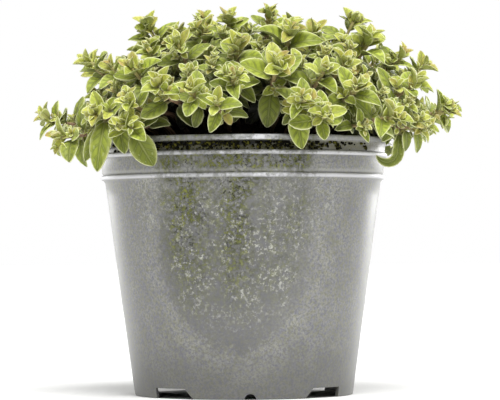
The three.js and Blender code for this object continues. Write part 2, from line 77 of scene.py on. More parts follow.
CLEARANCE = 0.35
SOIL_EDGE_Z = 96.0
SOIL_CREST = 14.0
SOIL_REACH = 54.0
STEM_DEPTH = 6.0

STEM_FOOT_HALF_WIDTH = 1.15
STEM_SPACING = 3.0
STEM_FREE_HEIGHT = 4.0
STEM_SPREAD = 26.4
STEM_CURVE = 0.35
STEM_STEPS = [0, 0.4, 0.75, 1]

# Tries for a stem: how far its foot is turned about the pot, and how steeply it leaves the soil.
STEM_TRIES = [
    (0, 1), (8, 1), (-8, 1), (0, 1.5), (8, 1.5), (-8, 1.5), (16, 1.5), (-16, 1.5),
    (0, 2), (8, 2), (-8, 2), (24, 2), (-24, 2), (0, 2.8), (12, 2.8), (-12, 2.8),
]

DOME_LEFT = 72.0
DOME_RIGHT = 82.0
DOME_DEPTH = 75.0
DOME_HEIGHT = 46.0
DOME_FOOT_Z = 104.0
LOWEST_TIP = -0.15
TIP_SPACING = 22.5
TIP_CANDIDATES = 377
CANDIDATE_STRIDE = 89
MOST_SHOOTS = 58
GOLDEN_ANGLE = math.pi * (3 - math.sqrt(5))
LEAST_LIFT = -0.3
MOST_LIFT = 1.1
LEVEL_TIP_Z = 100.0
LIFT_RISE = 40.0

LEAF_GAP = 1.9
ROOT_OFFSET = 0.3
CLOUD_STEP = 1.3
BEAD_REACH = 2.0
LEAF_LIGHT = 0.9
LEAF_RISE = 0.25
BASE_POWER = 0.5
TIP_POWER = 0.66
TEST_ALONG = np.array([0.2, 0.36, 0.52, 0.68, 0.84])
TEST_ACROSS = np.array([-1, -0.5, 0, 0.5, 1])
TURN_SPREAD = 5
ANGLE_SPREAD = 9
LENGTH_SPREAD = 0.12
BEND_SPREAD = 0.06
SEED_STEP = 7919
SHADED_RADIUS = 35.0

# Leaf pairs from the tip down: distance down the stem, length, width for length, angle from
# the stem, how far the blade bends back, how steeply its halves fold up, and its age.
LEAF_PAIRS = [
    (0.4, 7, 0.52, 34, 0.02, 0.5, 0.1),
    (2.5, 9.5, 0.57, 54, 0.06, 0.42, 0.3),
    (6, 11.5, 0.6, 68, 0.12, 0.34, 0.55),
    (10.5, 13, 0.62, 80, 0.2, 0.28, 0.75),
    (16, 13.5, 0.62, 88, 0.26, 0.24, 0.9),
    (22.5, 13, 0.62, 94, 0.3, 0.2, 1.0),
]

# Tries for a leaf: its turn about the stem, and its size.
LEAF_TRIES = [
    (0, 1), (-16, 1), (16, 1), (0, 0.8), (-28, 0.85), (28, 0.85), (0, 0.62), (-40, 0.7), (40, 0.7),
]

# Shoots on the front half: x, y and z of the tip, size, and lift towards upright.
FRONT_SHOOTS = [
    (12.9, -64, 127.3, 1.15, 1.1),
    (-19.3, -69, 117.9, 0.9, 0.5),
    (-31.6, -62, 120.6, 1, 0.9),
    (57.6, -53, 108.4, 0.95, 0.25),
    (44.7, -58, 119.3, 0.95, 0.5),
    (-55.6, -46, 111, 1, 0.3),
    (31.4, -69, 108.1, 0.85, 0.35),
    (18.7, -40, 141.7, 1.1, 1.2),
    (50.4, -16, 139.9, 1.05, 1.2),
    (-1.9, -55, 135.6, 0.95, 1),
    (-60.2, -18, 132.2, 0.85, 0.8),
    (-79.2, 4, 111, 0.85, 0.5),
    (-71.1, -28, 102.1, 0.9, 0.15),
    (-37.1, -12, 146.6, 1.05, 1.2),
    (-15.6, -34, 143.6, 0.8, 1.2),
    (-5.5, -18, 148.5, 0.95, 1.5),
    (10.8, -10, 151.1, 0.8, 2),
    (44.5, -6, 148.6, 0.8, 1.5),
    (63.3, -12, 134.6, 0.8, 1),
    (72.6, -4, 131.1, 0.8, 0.8),
    (68.2, -30, 122.4, 1, 0.5),
    (81.4, -20, 112, 0.85, 0.1),
    (69.5, -34, 105.4, 0.7, 0.2),
    (30.9, -60, 125.6, 0.9, 0.8),
    (28.2, -31, 142.7, 0.9, 1),
    (39.2, -51, 129.2, 0.8, 0.9),
    (-24.8, -45, 137.4, 0.8, 1),
    (-42.5, -46, 128, 0.9, 0.9),
    (-3.8, -69, 122.4, 0.8, 0.5),
    (-9.8, -74, 112.8, 0.8, 0.3),
    (23.4, -70, 114.1, 0.8, 0.3),
    (-45.5, -58, 104.4, 0.9, 0.1),
    (-43.2, -58, 113.9, 0.9, 0.4),
    (-50.8, -34, 129.2, 0.75, 0.9),
]

# How far a hanging leaf turns sideways. At 1 it would face straight away from the pot's axis.
FACE_SIDEWAYS = 0.4

# Leaves that hang over the rim: shoot, distance down its stem, x, y and z of the leaf's tip,
# width for length, bend, fold and age, and the angle by which the blade's outer half hooks sideways.
HANGING_LEAVES = [
    (31, 5, -35, -54, 90, 0.66, 0.05, 0.12, 1, 0),
    (5, 4, -56.5, -52, 90, 0.42, 0.04, 0.3, 0.95, 0),
    (5, 7, -61, -42, 92.5, 0.38, 0.04, 0.3, 1, 0),
    (12, 5, -68, -36, 94, 0.7, 0.02, 0.2, 1, 0),
    (22, 9, 58, -28, 88.5, 0.36, -0.1, 0.25, 1, 140),
    (30, 12, 23, -63, 97, 0.55, 0.1, 0.1, 0.6, 0),
]

# ---- small helpers

UP = np.array([0.0, 0.0, 1.0])


def seeded(seed):
    """A repeatable stream of numbers from 0 to 1, the CAD part's own generator."""
    state = seed

    def draw():
        nonlocal state
        state = (state * 1664525 + 1013904223) % 2**32
        return state / 2**32

    return draw


def unit(vector):
    return vector / math.sqrt(vector @ vector)


def lerp(low, high, share):
    return low + (high - low) * share


def around(radius, turn, z=0.0):
    """A point at a radius from the upright axis and an angle round it, in radians."""
    return np.array([radius * math.cos(turn), radius * math.sin(turn), z])


def link(piece):
    bpy.context.scene.collection.objects.link(piece)


def smooth(mesh):
    mesh.polygons.foreach_set("use_smooth", np.ones(len(mesh.polygons), dtype=bool))


def ride(mesh, slot, *nodes):
    """Makes a mesh a piece that rides on the part's one body, and hides the CAD parts it replaces. The slot
    is not used.
    """
    piece = bpy.data.objects.new(mesh.name, mesh)
    link(piece)
    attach(piece, "root")
    if nodes:
        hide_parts(*nodes)


# ---- where the shoots stand


def soil_top(radius):
    return SOIL_EDGE_Z + SOIL_CREST * (1 - (radius / SOIL_REACH) ** 2)


def body_radius(z):
    return BODY_FOOT_RADIUS + (BODY_TOP_RADIUS - BODY_FOOT_RADIUS) * z / BODY_TOP_Z


def collar_radius(z):
    share = (z - LOWER_BEAD_Z) / (POT_HEIGHT - LOWER_BEAD_Z)
    return lerp(COLLAR_FOOT_RADIUS, COLLAR_TOP_RADIUS, share)


def in_pot_or_soil(point, margin):
    x, y, z = point
    radius = math.hypot(x, y)
    if radius < COLLAR_TOP_RADIUS - WALL - margin:
        return z < soil_top(radius) + margin
    if z > POT_HEIGHT + margin:
        return False
    under_lip = z < POT_HEIGHT - LIP_HEIGHT - margin
    wall = min(body_radius(z) + BEAD_REACH, UPPER_BEAD_RADIUS)
    return radius < (wall if under_lip else RIM_RADIUS) + margin


class Crowd:
    """Points already taken, in cubes whose side is the largest distance that is asked about."""

    def __init__(self, cell):
        self.cell = cell
        self.cubes = {}

    def cube(self, x, y, z):
        return math.floor(x / self.cell), math.floor(y / self.cell), math.floor(z / self.cell)

    def add(self, points, owner):
        for x, y, z in points.tolist():
            self.cubes.setdefault(self.cube(x, y, z), []).append((x, y, z, owner))

    def touches(self, points, owner, gap):
        """True if a point of another owner lies nearer than the gap to any of these points."""
        nearest = gap * gap
        for x, y, z in points.tolist():
            for px, py, pz, other in self.neighbours(x, y, z):
                if other != owner and (px - x) ** 2 + (py - y) ** 2 + (pz - z) ** 2 < nearest:
                    return True
        return False

    def neighbours(self, x, y, z):
        cx, cy, cz = self.cube(x, y, z)
        for i in (cx - 1, cx, cx + 1):
            for j in (cy - 1, cy, cy + 1):
                for k in (cz - 1, cz, cz + 1):
                    yield from self.cubes.get((i, j, k), ())


@dataclass
class Leaf:
    root: np.ndarray
    along: np.ndarray
    face: np.ndarray
    length: float
    width: float
    bend: float
    fold: float
    age: float
    hook: float = 0.0

    @property
    def side(self):
        return np.cross(self.along, self.face)

    @property
    def half_width(self):
        return 0.5 * self.length * self.width


@dataclass
class Shoot:
    index: int
    size: float
    path: np.ndarray
    roll: float
    random: object
    pairs: int
    leaves: list = field(default_factory=list)


def dome_width(x):
    return DOME_LEFT if x < 0 else DOME_RIGHT


def on_dome(height, turn):
    """A point of the dome at a share of its height, turned about the upright axis."""
    width = math.sqrt(1 - height**2)
    return np.array([
        dome_width(math.cos(turn)) * width * math.cos(turn),
        DOME_DEPTH * width * math.sin(turn),
        DOME_FOOT_Z + DOME_HEIGHT * height,
    ])


def outward(tip, lift):
    x, y, z = tip
    away = unit(np.array([x / dome_width(x) ** 2, y / DOME_DEPTH**2, (z - DOME_FOOT_Z) / DOME_HEIGHT**2]))
    return unit(away + lift * UP)


def lift_at(z):
    return min(max((z - LEVEL_TIP_Z) / LIFT_RISE, LEAST_LIFT), MOST_LIFT)


def shoot_tips():
    """The front tips, then tips spread evenly over what they leave bare."""
    tips = [(np.array([x, y, z]), size, lift) for x, y, z, size, lift in FRONT_SHOOTS]
    for i in range(TIP_CANDIDATES):
        step = (i * CANDIDATE_STRIDE) % TIP_CANDIDATES
        height = 1 - (1 - LOWEST_TIP) * (step + 0.5) / TIP_CANDIDATES
        at = on_dome(height, step * GOLDEN_ANGLE)
        clear = all(math.dist(other, at) >= TIP_SPACING for other, _, _ in tips)
        if clear and len(tips) < MOST_SHOOTS:
            tips.append((at, 1, lift_at(at[2])))
    return tips


def stem_path(tip, direction, turn, rise):
    """A stem's axis from the soil to its tip, as a few straight lengths of one curve."""
    outwards = math.hypot(tip[0], tip[1]) / DOME_RIGHT
    upwards = (tip[2] - DOME_FOOT_Z) / DOME_HEIGHT
    radius = STEM_SPREAD * math.atan2(outwards, upwards)
    azimuth = math.atan2(tip[1], tip[0]) + math.radians(turn)
    foot = around(radius, azimuth, soil_top(radius))
    reach = STEM_CURVE * math.dist(foot, tip)
    over_foot = foot + UP * reach * rise
    before_tip = tip - direction * reach

    def at(t):
        near_foot = (1 - t) ** 3 * foot + 3 * (1 - t) ** 2 * t * over_foot
        return near_foot + 3 * (1 - t) * t**2 * before_tip + t**3 * tip

    return np.array([at(t) for t in STEM_STEPS])


def down_stem(path, distance):
    """The place and heading on a path at a distance back from its end."""
    left = distance
    for i in range(len(path) - 1, 0, -1):
        length = math.dist(path[i], path[i - 1])
        heading = (path[i] - path[i - 1]) / length
        if left <= length or i == 1:
            return path[i] - heading * left, heading
        left -= length


def divided(path, step, whole):
    """The path's corners with points about a step apart between them."""
    points = []
    for before, after in zip(path, path[1:]):
        steps = max(1, whole(math.dist(after, before) / step))
        points += [lerp(before, after, k / steps) for k in range(steps)]
    return np.array([*points, path[-1]])


def stem_cloud(path):
    return divided(path, CLOUD_STEP, math.ceil)


def place_stem(index, tip, size, lift, crowd, pairs):
    random = seeded(SEED_STEP * (index + 1))
    # Two draws are skipped, as in the CAD part.
    random()
    random()
    direction = outward(tip, lift)
    paths = [stem_path(tip, direction, turn, rise) for turn, rise in STEM_TRIES]

    def free(path):
        cloud = stem_cloud(path)
        margin = STEM_FOOT_HALF_WIDTH + CLEARANCE
        above = [point for point in cloud if math.dist(point, path[0]) > STEM_FREE_HEIGHT]
        if any(in_pot_or_soil(point, margin) for point in above):
            return False
        return not crowd.touches(cloud, index, STEM_SPACING)

    path = next(filter(free, paths), paths[0])
    crowd.add(stem_cloud(path), index)
    return Shoot(index, size, path, 360 * random(), random, pairs)


def place_stems(crowd):
    shoots = []
    for index, (tip, size, lift) in enumerate(shoot_tips()):
        shaded = math.hypot(tip[0], tip[1]) < SHADED_RADIUS
        pairs = len(LEAF_PAIRS) - 1 if shaded else len(LEAF_PAIRS)
        shoots.append(place_stem(index, tip, size, lift, crowd, pairs))
    return shoots


# ---- where the leaves stand


def outline(t):
    """Half width of the blade along its length, as a share of its widest."""
    widest = BASE_POWER / (BASE_POWER + TIP_POWER)
    swell = t**BASE_POWER * (1 - t) ** TIP_POWER
    return swell / (widest**BASE_POWER * (1 - widest) ** TIP_POWER)


def leaf_on(shoot, down, turn, spread, length, width, bend, fold, age):
    """A leaf at a distance down a stem, turned about it and spread away from it."""
    at, heading = down_stem(shoot.path, down)
    level = np.cross(down_stem(shoot.path, 0)[1], UP)
    across = unit(level - heading * (level @ heading))
    over = np.cross(heading, across)
    turned, away = math.radians(turn), math.radians(spread)
    radial = across * math.cos(turned) + over * math.sin(turned)
    along = unit(heading * math.cos(away) + radial * math.sin(away) + UP * LEAF_RISE)
    face = heading + UP * LEAF_LIGHT
    face = unit(face - along * (face @ along))
    return Leaf(at + along * ROOT_OFFSET, along, face, length, width, bend, fold, age)


def hanging_leaf(shoot, down, tip, width, bend, fold, age):
    """A leaf from a distance down a stem to a tip, facing away from the pot."""
    at = down_stem(shoot.path, down)[0]
    length = math.dist(tip, at)
    along = (tip - at) / length
    out = unit(np.array([FACE_SIDEWAYS * tip[0], tip[1], 0]))
    face = unit(out - along * (out @ along))
    return Leaf(at + along * ROOT_OFFSET, along, face, length, width, bend, fold, age)


def hang_leaves(shoots, crowd):
    for number, down, x, y, z, width, bend, fold, age, hook in HANGING_LEAVES:
        shoot = shoots[number]
        leaf = hanging_leaf(shoot, down, np.array([x, y, z]), width, bend, fold, age)
        leaf.hook = hook
        crowd.add(leaf_cloud(leaf), shoot.index)
        shoot.leaves.append(leaf)


def draw_leaf(shoot, pair, opposite):
    """A function that gives this leaf for any turn and size, with its random draws taken once."""
    down, length, width, spread, bend, fold, age = LEAF_PAIRS[pair]
    turn = shoot.roll + 90 * pair + 180 * opposite + TURN_SPREAD * (2 * shoot.random() - 1)
    spread += ANGLE_SPREAD * (2 * shoot.random() - 1)
    length *= shoot.size * (1 + LENGTH_SPREAD * (2 * shoot.random() - 1))
    bend += BEND_SPREAD * (2 * shoot.random() - 1)
    return lambda by, size: leaf_on(
        shoot, down * shoot.size, turn + by, spread, length * size, width, bend, fold, age
    )


def leaf_cloud(leaf):
    t = np.repeat(TEST_ALONG, len(TEST_ACROSS))[:, None]
    s = np.tile(TEST_ACROSS, len(TEST_ALONG))[:, None]
    across = s * leaf.half_width * outline(t)
    rise = leaf.fold * np.abs(across) - leaf.bend * leaf.length * t**2
    points = leaf.root + leaf.along * leaf.length * t + leaf.side * across + leaf.face * rise
    tip = leaf.root + leaf.along * leaf.length - leaf.face * leaf.bend * leaf.length
    return np.vstack([points, tip])


def place_leaves(shoots, crowd, gap):
    """Youngest pairs first over the whole plant, each leaf where it clears the other shoots."""
    for pair in range(len(LEAF_PAIRS)):
        for shoot in (each for each in shoots if pair < each.pairs):
            for opposite in (0, 1):
                leaf_for = draw_leaf(shoot, pair, opposite)
                for turn, size in LEAF_TRIES:
                    leaf = leaf_for(turn, size)
                    cloud = leaf_cloud(leaf)
                    if any(in_pot_or_soil(point, gap) for point in cloud):
                        continue
                    if crowd.touches(cloud, shoot.index, gap):
                        continue
                    crowd.add(cloud, shoot.index)
                    shoot.leaves.append(leaf)
                    break


# ---- inner shoots

INNER_SEED = 300
INNER_CANDIDATES = 987
INNER_STRIDE = 377
INNER_SPACING = 10.0
INNER_LOWEST = 0.02
INNER_DEPTHS = (0.96, 0.72)
INNER_SIZES = (0.55, 0.8)
INNER_GAP = 1.0

# The gap under the front of the bush, which no inner shoot fills.
OPEN_FRONT_Y = -25
OPEN_FRONT_HALF_WIDTH = 45
OPEN_FRONT_TOP_Z = 116


def inner_tips(tips):
    """Tips a little under the dome, wherever the CAD part's own leave room."""
    taken, made = list(tips), []
    foot = DOME_FOOT_Z * UP
    random = seeded(INNER_SEED)
    for i in range(INNER_CANDIDATES):
        step = (i * INNER_STRIDE) % INNER_CANDIDATES
        height = 1 - (1 - INNER_LOWEST) * (step + 0.5) / INNER_CANDIDATES
        depth = lerp(*INNER_DEPTHS, random())
        size = lerp(*INNER_SIZES, random())
        at = lerp(foot, on_dome(height, step * GOLDEN_ANGLE), depth)
        low_middle = abs(at[0]) < OPEN_FRONT_HALF_WIDTH and at[2] < OPEN_FRONT_TOP_Z
        open_front = at[1] < OPEN_FRONT_Y and low_middle
        if not open_front and all(math.dist(other, at) >= INNER_SPACING for other in taken):
            taken.append(at)
            made.append((at, size, lift_at(at[2])))
    return made


def place_inner(shoots, stems, leaves):
    inner = []
    for tip, size, lift in inner_tips([shoot.path[-1] for shoot in shoots]):
        index = len(shoots) + len(inner)
        inner.append(place_stem(index, tip, size, lift, stems, len(LEAF_PAIRS) - 1))
    for shoot in inner:
        leaves.add(stem_cloud(shoot.path), shoot.index)
    place_leaves(inner, leaves, INNER_GAP)
    return inner


# ---- meshes of leaves and stems


class Heap:
    """Gathers pieces of quad mesh with their blade and life values, and makes one mesh of them."""

    def __init__(self):
        self.points, self.quads, self.blades, self.lives, self.slots = [], [], [], [], []
        self.count = 0

    def add(self, points, quads, blade, life, slot):
        self.points.append(points)
        self.quads.append(quads + self.count)
        self.blades.append(blade)
        self.lives.append(np.tile(life, (len(points), 1)) if np.ndim(life) == 1 else life)
        self.slots.append(np.full(len(quads), slot))
        self.count += len(points)

    def build(self, name, materials):
        mesh = quad_mesh(name, np.vstack(self.points), np.vstack(self.quads))
        for key, values in (("blade", self.blades), ("life", self.lives)):
            layer = mesh.attributes.new(key, "FLOAT_VECTOR", "POINT")
            layer.data.foreach_set("vector", np.vstack(values).astype(np.float32).ravel())
        for material in materials:
            mesh.materials.append(material)
        mesh.polygons.foreach_set("material_index", np.concatenate(self.slots).astype(np.int32))
        return mesh


def quad_mesh(name, points, quads):
    mesh = bpy.data.meshes.new(name)
    mesh.vertices.add(len(points))
    mesh.vertices.foreach_set("co", (points * MM).astype(np.float32).ravel())
    mesh.loops.add(quads.size)
    mesh.loops.foreach_set("vertex_index", quads.astype(np.int32).ravel())
    mesh.polygons.add(len(quads))
    mesh.polygons.foreach_set("loop_start", np.arange(0, quads.size, 4, dtype=np.int32))
    mesh.update(calc_edges=True)
    smooth(mesh)
    return mesh


@lru_cache
def blade_quads(rows, columns):
    """Quads of a closed blade: an upper and a lower grid that share their border."""
    upper = np.arange((rows + 1) * (columns + 1)).reshape(rows + 1, columns + 1)
    lower = upper.copy()
    inner = (rows - 1) * (columns - 1)
    lower[1:-1, 1:-1] = upper.size + np.arange(inner).reshape(rows - 1, columns - 1)

    def quads(grid):
        corners = [grid[:-1, :-1], grid[1:, :-1], grid[1:, 1:], grid[:-1, 1:]]
        return np.stack(corners, -1).reshape(-1, 4)

    return np.vstack([quads(upper), quads(lower)[:, ::-1]])


# Blades: rows and columns of quads from a length on, how columns crowd to the edges, and sizes.
BLADE_SIZES = [(0, 5, 4), (5.9, 6, 6), (9, 8, 6), (11.5, 10, 8), (13, 13, 8)]
CROWDED, EVEN = 0.85, 0.15
BLADE_THICKNESS = 0.34
YOUNG_THICKNESS = 0.5
WIDENING = (1.12, 0.93)
LEAST_HALF_WIDTH = 0.02
STALK_SHARE = 0.13
YOUNG_STALK = 0.25
STALK_HALF_WIDTH = 0.42
STALK_SLIMNESS = 0.3
RIB_HEIGHT = 0.35
RIB_WIDTH = 0.45
RIB_TAPER = 0.8

# How the surface is shaped: heights and depths as shares of the blade's length or half width.
FOLD_ROUNDING = 0.35
FOLD_WITH_AGE = 0.16
CUP_RANGE = (0.0, 0.75)
FLATTER_WITH_AGE = 0.3
ARCH_RANGE = (-0.02, 0.09)
CURL_RANGE = (0.0, 0.18)
TWIST = 22
MARGIN_ROLL = 0.32
YOUNG_ROLL = 0.4
QUILT_HEIGHT = 0.084
VEIN_COUNT = 4.5
VEIN_SLANT = 0.3
SINK_DEPTH = 0.05
SINK_WITH_AGE = 0.1
SINK_WIDTH = 0.7
WAVE_HEIGHT = 0.05
WAVE_LENGTHS = 9
WAVE_SHIFT = 2
SWAY = 0.05

# How far a stalk turns its blade to the light, and the line over the bush from which blades look
# to the front and to the back.
LIGHT_TURN = 0.8
LIGHT_SIDEWAYS = 0.1
LIGHT_LINE_Y = 25.0

# A hooked blade has more rows, and its hook starts at a share of its length and is drawn out.
HOOK_ROWS = 2
HOOK_START = 0.6
HOOK_STRETCH = 0.6


def turned_to_light(leaf):
    """The side and face of a blade whose stalk has turned it towards the light."""
    x, y, _ = leaf.root
    light = unit(np.array([LIGHT_SIDEWAYS * x, y - LIGHT_LINE_Y, 0]))
    face = leaf.face + LIGHT_TURN * light
    face = unit(face - leaf.along * (face @ leaf.along))
    return np.cross(leaf.along, face), face


def midrib(leaf, side, t):
    """Places along a blade and its sideways direction at each, with a hook in its outer part."""
    bent = np.clip((t - HOOK_START) / (1 - HOOK_START), 0, 1)
    turn = math.radians(leaf.hook) * bent
    heading = leaf.along * np.cos(turn) + side * np.sin(turn)
    steps = np.diff(t, axis=0, prepend=0) * leaf.length
    stretched = 1 + HOOK_STRETCH * bent if leaf.hook else 1
    places = leaf.root + np.cumsum(heading * steps * stretched, axis=0)
    return places[:, None], (side * np.cos(turn) - leaf.along * np.sin(turn))[:, None]


def blade_grid(leaf):
    """Shares of the length from the stalk's foot and from its end, and shares across the blade."""
    rows, columns = [(r, c) for length, r, c in BLADE_SIZES if leaf.length >= length][-1]
    rows *= HOOK_ROWS if leaf.hook else 1
    stalk = STALK_SHARE * min(1, leaf.age + YOUNG_STALK)
    spaced = 0.5 - 0.5 * np.cos(np.linspace(0, math.pi, rows))
    t = np.concatenate([[0], stalk + (1 - stalk) * spaced])[:, None]
    s = np.sin(np.linspace(-math.pi / 2, math.pi / 2, columns + 1)) * CROWDED
    s = s + EVEN * np.linspace(-1, 1, columns + 1)
    return t, np.clip((t - stalk) / (1 - stalk), 0, 1), s[None, :]


def half_widths(leaf, blade_t):
    """Half the blade's width at each row, never less than its stalk's."""
    narrow = min(STALK_HALF_WIDTH, STALK_SLIMNESS * leaf.half_width)
    blade = lerp(*WIDENING, leaf.age) * leaf.half_width * outline(blade_t)
    return np.maximum(blade, narrow * (1 - blade_t**2) + LEAST_HALF_WIDTH)


def blade_surface(leaf, t, blade_t, s, half, random):
    """How far each point lies sideways and how high over the midrib, and how the midrib sways."""
    across, edge = s * half, np.abs(s)
    share = half / leaf.half_width
    phase = 2 * math.pi * random()
    rounded = np.sqrt(across**2 + FOLD_ROUNDING) - math.sqrt(FOLD_ROUNDING)
    fold = (leaf.fold + FOLD_WITH_AGE * leaf.age) * rounded
    cup = lerp(*CUP_RANGE, random()) - FLATTER_WITH_AGE * leaf.age
    cupped = cup * leaf.half_width * edge**2 * share
    arch = lerp(*ARCH_RANGE, random()) * leaf.length * np.sin(math.pi * t)
    curl = lerp(*CURL_RANGE, random()) * leaf.length * t**4
    twist = math.radians(TWIST * (2 * random() - 1)) * t
    roll = MARGIN_ROLL * leaf.half_width * edge**3 * share * lerp(YOUNG_ROLL, 1, leaf.age)
    veins = np.cos(2 * math.pi * VEIN_COUNT * (blade_t - VEIN_SLANT * edge))
    quilt = -QUILT_HEIGHT * leaf.length * leaf.age * veins * edge * (1 - edge**2) * share
    sink = -(SINK_DEPTH + SINK_WITH_AGE * leaf.age) * leaf.half_width
    sunk = sink * np.exp(-((across / SINK_WIDTH) ** 2)) * share
    waves = np.sin(WAVE_LENGTHS * blade_t + phase + WAVE_SHIFT * np.sign(s))
    wave = WAVE_HEIGHT * leaf.half_width * edge**2 * waves
    rise = fold + cupped - roll + quilt + sunk + wave + arch - curl - leaf.bend * leaf.length * t**2
    turned = across * np.cos(twist) - rise * np.sin(twist)
    raised = across * np.sin(twist) + rise * np.cos(twist)
    return turned, raised, SWAY * leaf.length * math.sin(phase) * t**2


def add_blade(heap, leaf, random):
    """One leaf as a thin closed blade: folded, quilted between its veins, with a rolled margin."""
    t, blade_t, s = blade_grid(leaf)
    half = half_widths(leaf, blade_t)
    across, rise, sway = blade_surface(leaf, t, blade_t, s, half, random)
    side, face = turned_to_light(leaf)
    places, sideways = midrib(leaf, side, t)
    centre = places + sideways * (across + sway)[..., None] + face * rise[..., None]
    body = np.sqrt(np.clip(1 - np.abs(s) ** 2, 0, 1)) * np.ones_like(t)
    thick = 0.5 * BLADE_THICKNESS * min(1, YOUNG_THICKNESS + leaf.age) * body
    rib = RIB_HEIGHT * np.exp(-((across / RIB_WIDTH) ** 2)) * (1 - RIB_TAPER * t)
    upper = centre + face * thick[..., None]
    lower = centre - face * (thick + rib)[..., None]
    upper[[0, -1]], upper[:, [0, -1]] = centre[[0, -1]], centre[:, [0, -1]]
    points = np.vstack([upper.reshape(-1, 3), lower[1:-1, 1:-1].reshape(-1, 3)])
    where = np.stack(np.broadcast_arrays(blade_t, s, half), -1)
    under = where[1:-1, 1:-1].reshape(-1, 3) * [1, 1, -1]
    life = np.array([leaf.age, random(), random()])
    quads = blade_quads(len(t) - 1, s.size - 1)
    heap.add(points, quads, np.vstack([where.reshape(-1, 3), under]), life, 0)


# Stems and lumps are closed tubes of quads, each end of a tube capped by three.
TUBE_SIDES = 8
CAP = np.array([(0, 1, 2, 3), (0, 3, 4, 7), (4, 5, 6, 7)])


@lru_cache
def tube_quads(rings):
    first = np.arange(TUBE_SIDES)
    ring = first[None, :] + TUBE_SIDES * np.arange(rings - 1)[:, None]
    after = (first + 1) % TUBE_SIDES + TUBE_SIDES * np.arange(rings - 1)[:, None]
    sides = np.stack([ring, after, after + TUBE_SIDES, ring + TUBE_SIDES], -1).reshape(-1, 4)
    return np.vstack([sides, CAP[:, ::-1], CAP + TUBE_SIDES * (rings - 1)])


# Stems: distance between rings, rounds of smoothing, radius at the foot and tip and how it grows
# with the shoot, how far the corners stand out, and the swelling at each leaf pair.
STEM_STEP = 2.2
BEND_ROUNDS = 3
STEM_RADII = (1.0, 0.55)
LEAST_STEM, STEM_BY_SIZE = 0.7, 0.3
SQUARENESS = 0.16
NODE_SWELL = 0.3
NODE_REACH = 0.9


def smooth_path(path, step):
    """The path as many points, with its bends rounded off."""
    points = divided(path, step, round)
    for _ in range(BEND_ROUNDS):
        points[1:-1] = 0.25 * points[:-2] + 0.5 * points[1:-1] + 0.25 * points[2:]
    return points


def add_stem(heap, shoot):
    """A square stem, a little hollow between its corners, that swells where leaves stand."""
    centres = smooth_path(np.vstack([shoot.path[0] - UP * STEM_DEPTH, shoot.path]), STEM_STEP)
    headings = np.gradient(centres, axis=0)
    headings /= np.linalg.norm(headings, axis=1)[:, None]
    lengths = np.concatenate([[0], np.cumsum(np.linalg.norm(np.diff(centres, axis=0), axis=1))])
    down = lengths[-1] - lengths
    radius = lerp(*STEM_RADII, lengths / lengths[-1]) * (LEAST_STEM + STEM_BY_SIZE * shoot.size)
    for pair in LEAF_PAIRS[: shoot.pairs]:
        swell = np.exp(-(((down - pair[0] * shoot.size) / NODE_REACH) ** 2))
        radius = radius * (1 + NODE_SWELL * swell)
    angles = np.arange(TUBE_SIDES) * 2 * math.pi / TUBE_SIDES
    square = 1 + SQUARENESS * np.cos(4 * angles)
    level = np.cross(headings[-1], UP)
    rings = []
    for centre, heading, size in zip(centres, headings, radius):
        across = unit(level - heading * (level @ heading))
        over = np.cross(heading, across)
        turned = angles + math.radians(shoot.roll + 45)
        corner = np.outer(np.cos(turned), across) + np.outer(np.sin(turned), over)
        rings.append(centre + corner * (size * square)[:, None])
    points = np.vstack(rings)
    share = np.repeat(lengths / lengths[-1], TUBE_SIDES)
    blade = np.column_stack([share, np.tile(square, len(rings)), np.zeros(len(points))])
    life = np.column_stack([share, np.full(len(points), shoot.random()), np.zeros(len(points))])
    heap.add(points, tube_quads(len(rings)), blade, life, 1)


# Leaves of the bud at a tip: distance down the stem, length, width, spread and fold.
BUD_PAIRS = [(0.0, 3.2, 0.62, 14, 0.5), (0.3, 5.0, 0.6, 22, 0.45)]
BUD_TURN_SPREAD = 8
BUD_BEND = -0.05
BUD_AGE = 0.04

# Sprigs in the axils of older leaves: the same measures, how many there are, how they stand, and
# how their leaves vary.
SPRIG_PAIRS = [(0.1, 4.0, 0.66, 36, 0.45), (1.4, 6.2, 0.7, 62, 0.35)]
SPRIG_SHARE = 0.6
SPRIG_SIZE_MARGIN = 0.1
SPRIG_ABOVE = 0.5
SPRIG_REACH = (2.0, 5.0)
SPRIG_SPREAD = (30, 60)
SPRIG_TURN = (-30, 30)
SPRIG_SIZES = (0.7, 1.15)
SPRIG_LEAF_TURN = 30
SPRIG_LEAF_SPREAD = 12
SPRIG_BEND = 0.08
SPRIG_AGE, SPRIG_AGE_SPREAD = 0.1, 0.3
SPRIG_GAP = 0.2


def axil_sprig(shoot, pair, opposite):
    """A short side shoot that leaves the stem just above a leaf."""
    random, size = shoot.random, shoot.size
    down = (LEAF_PAIRS[pair][0] - SPRIG_ABOVE) * size
    at = down_stem(shoot.path, down)[0]
    turn = shoot.roll + 90 * pair + 180 * opposite + lerp(*SPRIG_TURN, random())
    spread = lerp(*SPRIG_SPREAD, random())
    towards = leaf_on(shoot, down, turn, spread, 1, 1, 0, 0, 0).along
    path = np.array([at, at + towards * lerp(*SPRIG_REACH, random())])
    return Shoot(shoot.index, size * lerp(*SPRIG_SIZES, random()), path, 360 * random(), random, 0)


def add_bud(heap, shoot):
    random = shoot.random
    for k, (down, length, width, spread, fold) in enumerate(BUD_PAIRS):
        for opposite in (0, 1):
            turn = shoot.roll + 45 + 90 * k + 180 * opposite + BUD_TURN_SPREAD * random()
            length_here = length * shoot.size
            leaf = leaf_on(shoot, down, turn, spread, length_here, width, BUD_BEND, fold, BUD_AGE)
            add_blade(heap, leaf, random)


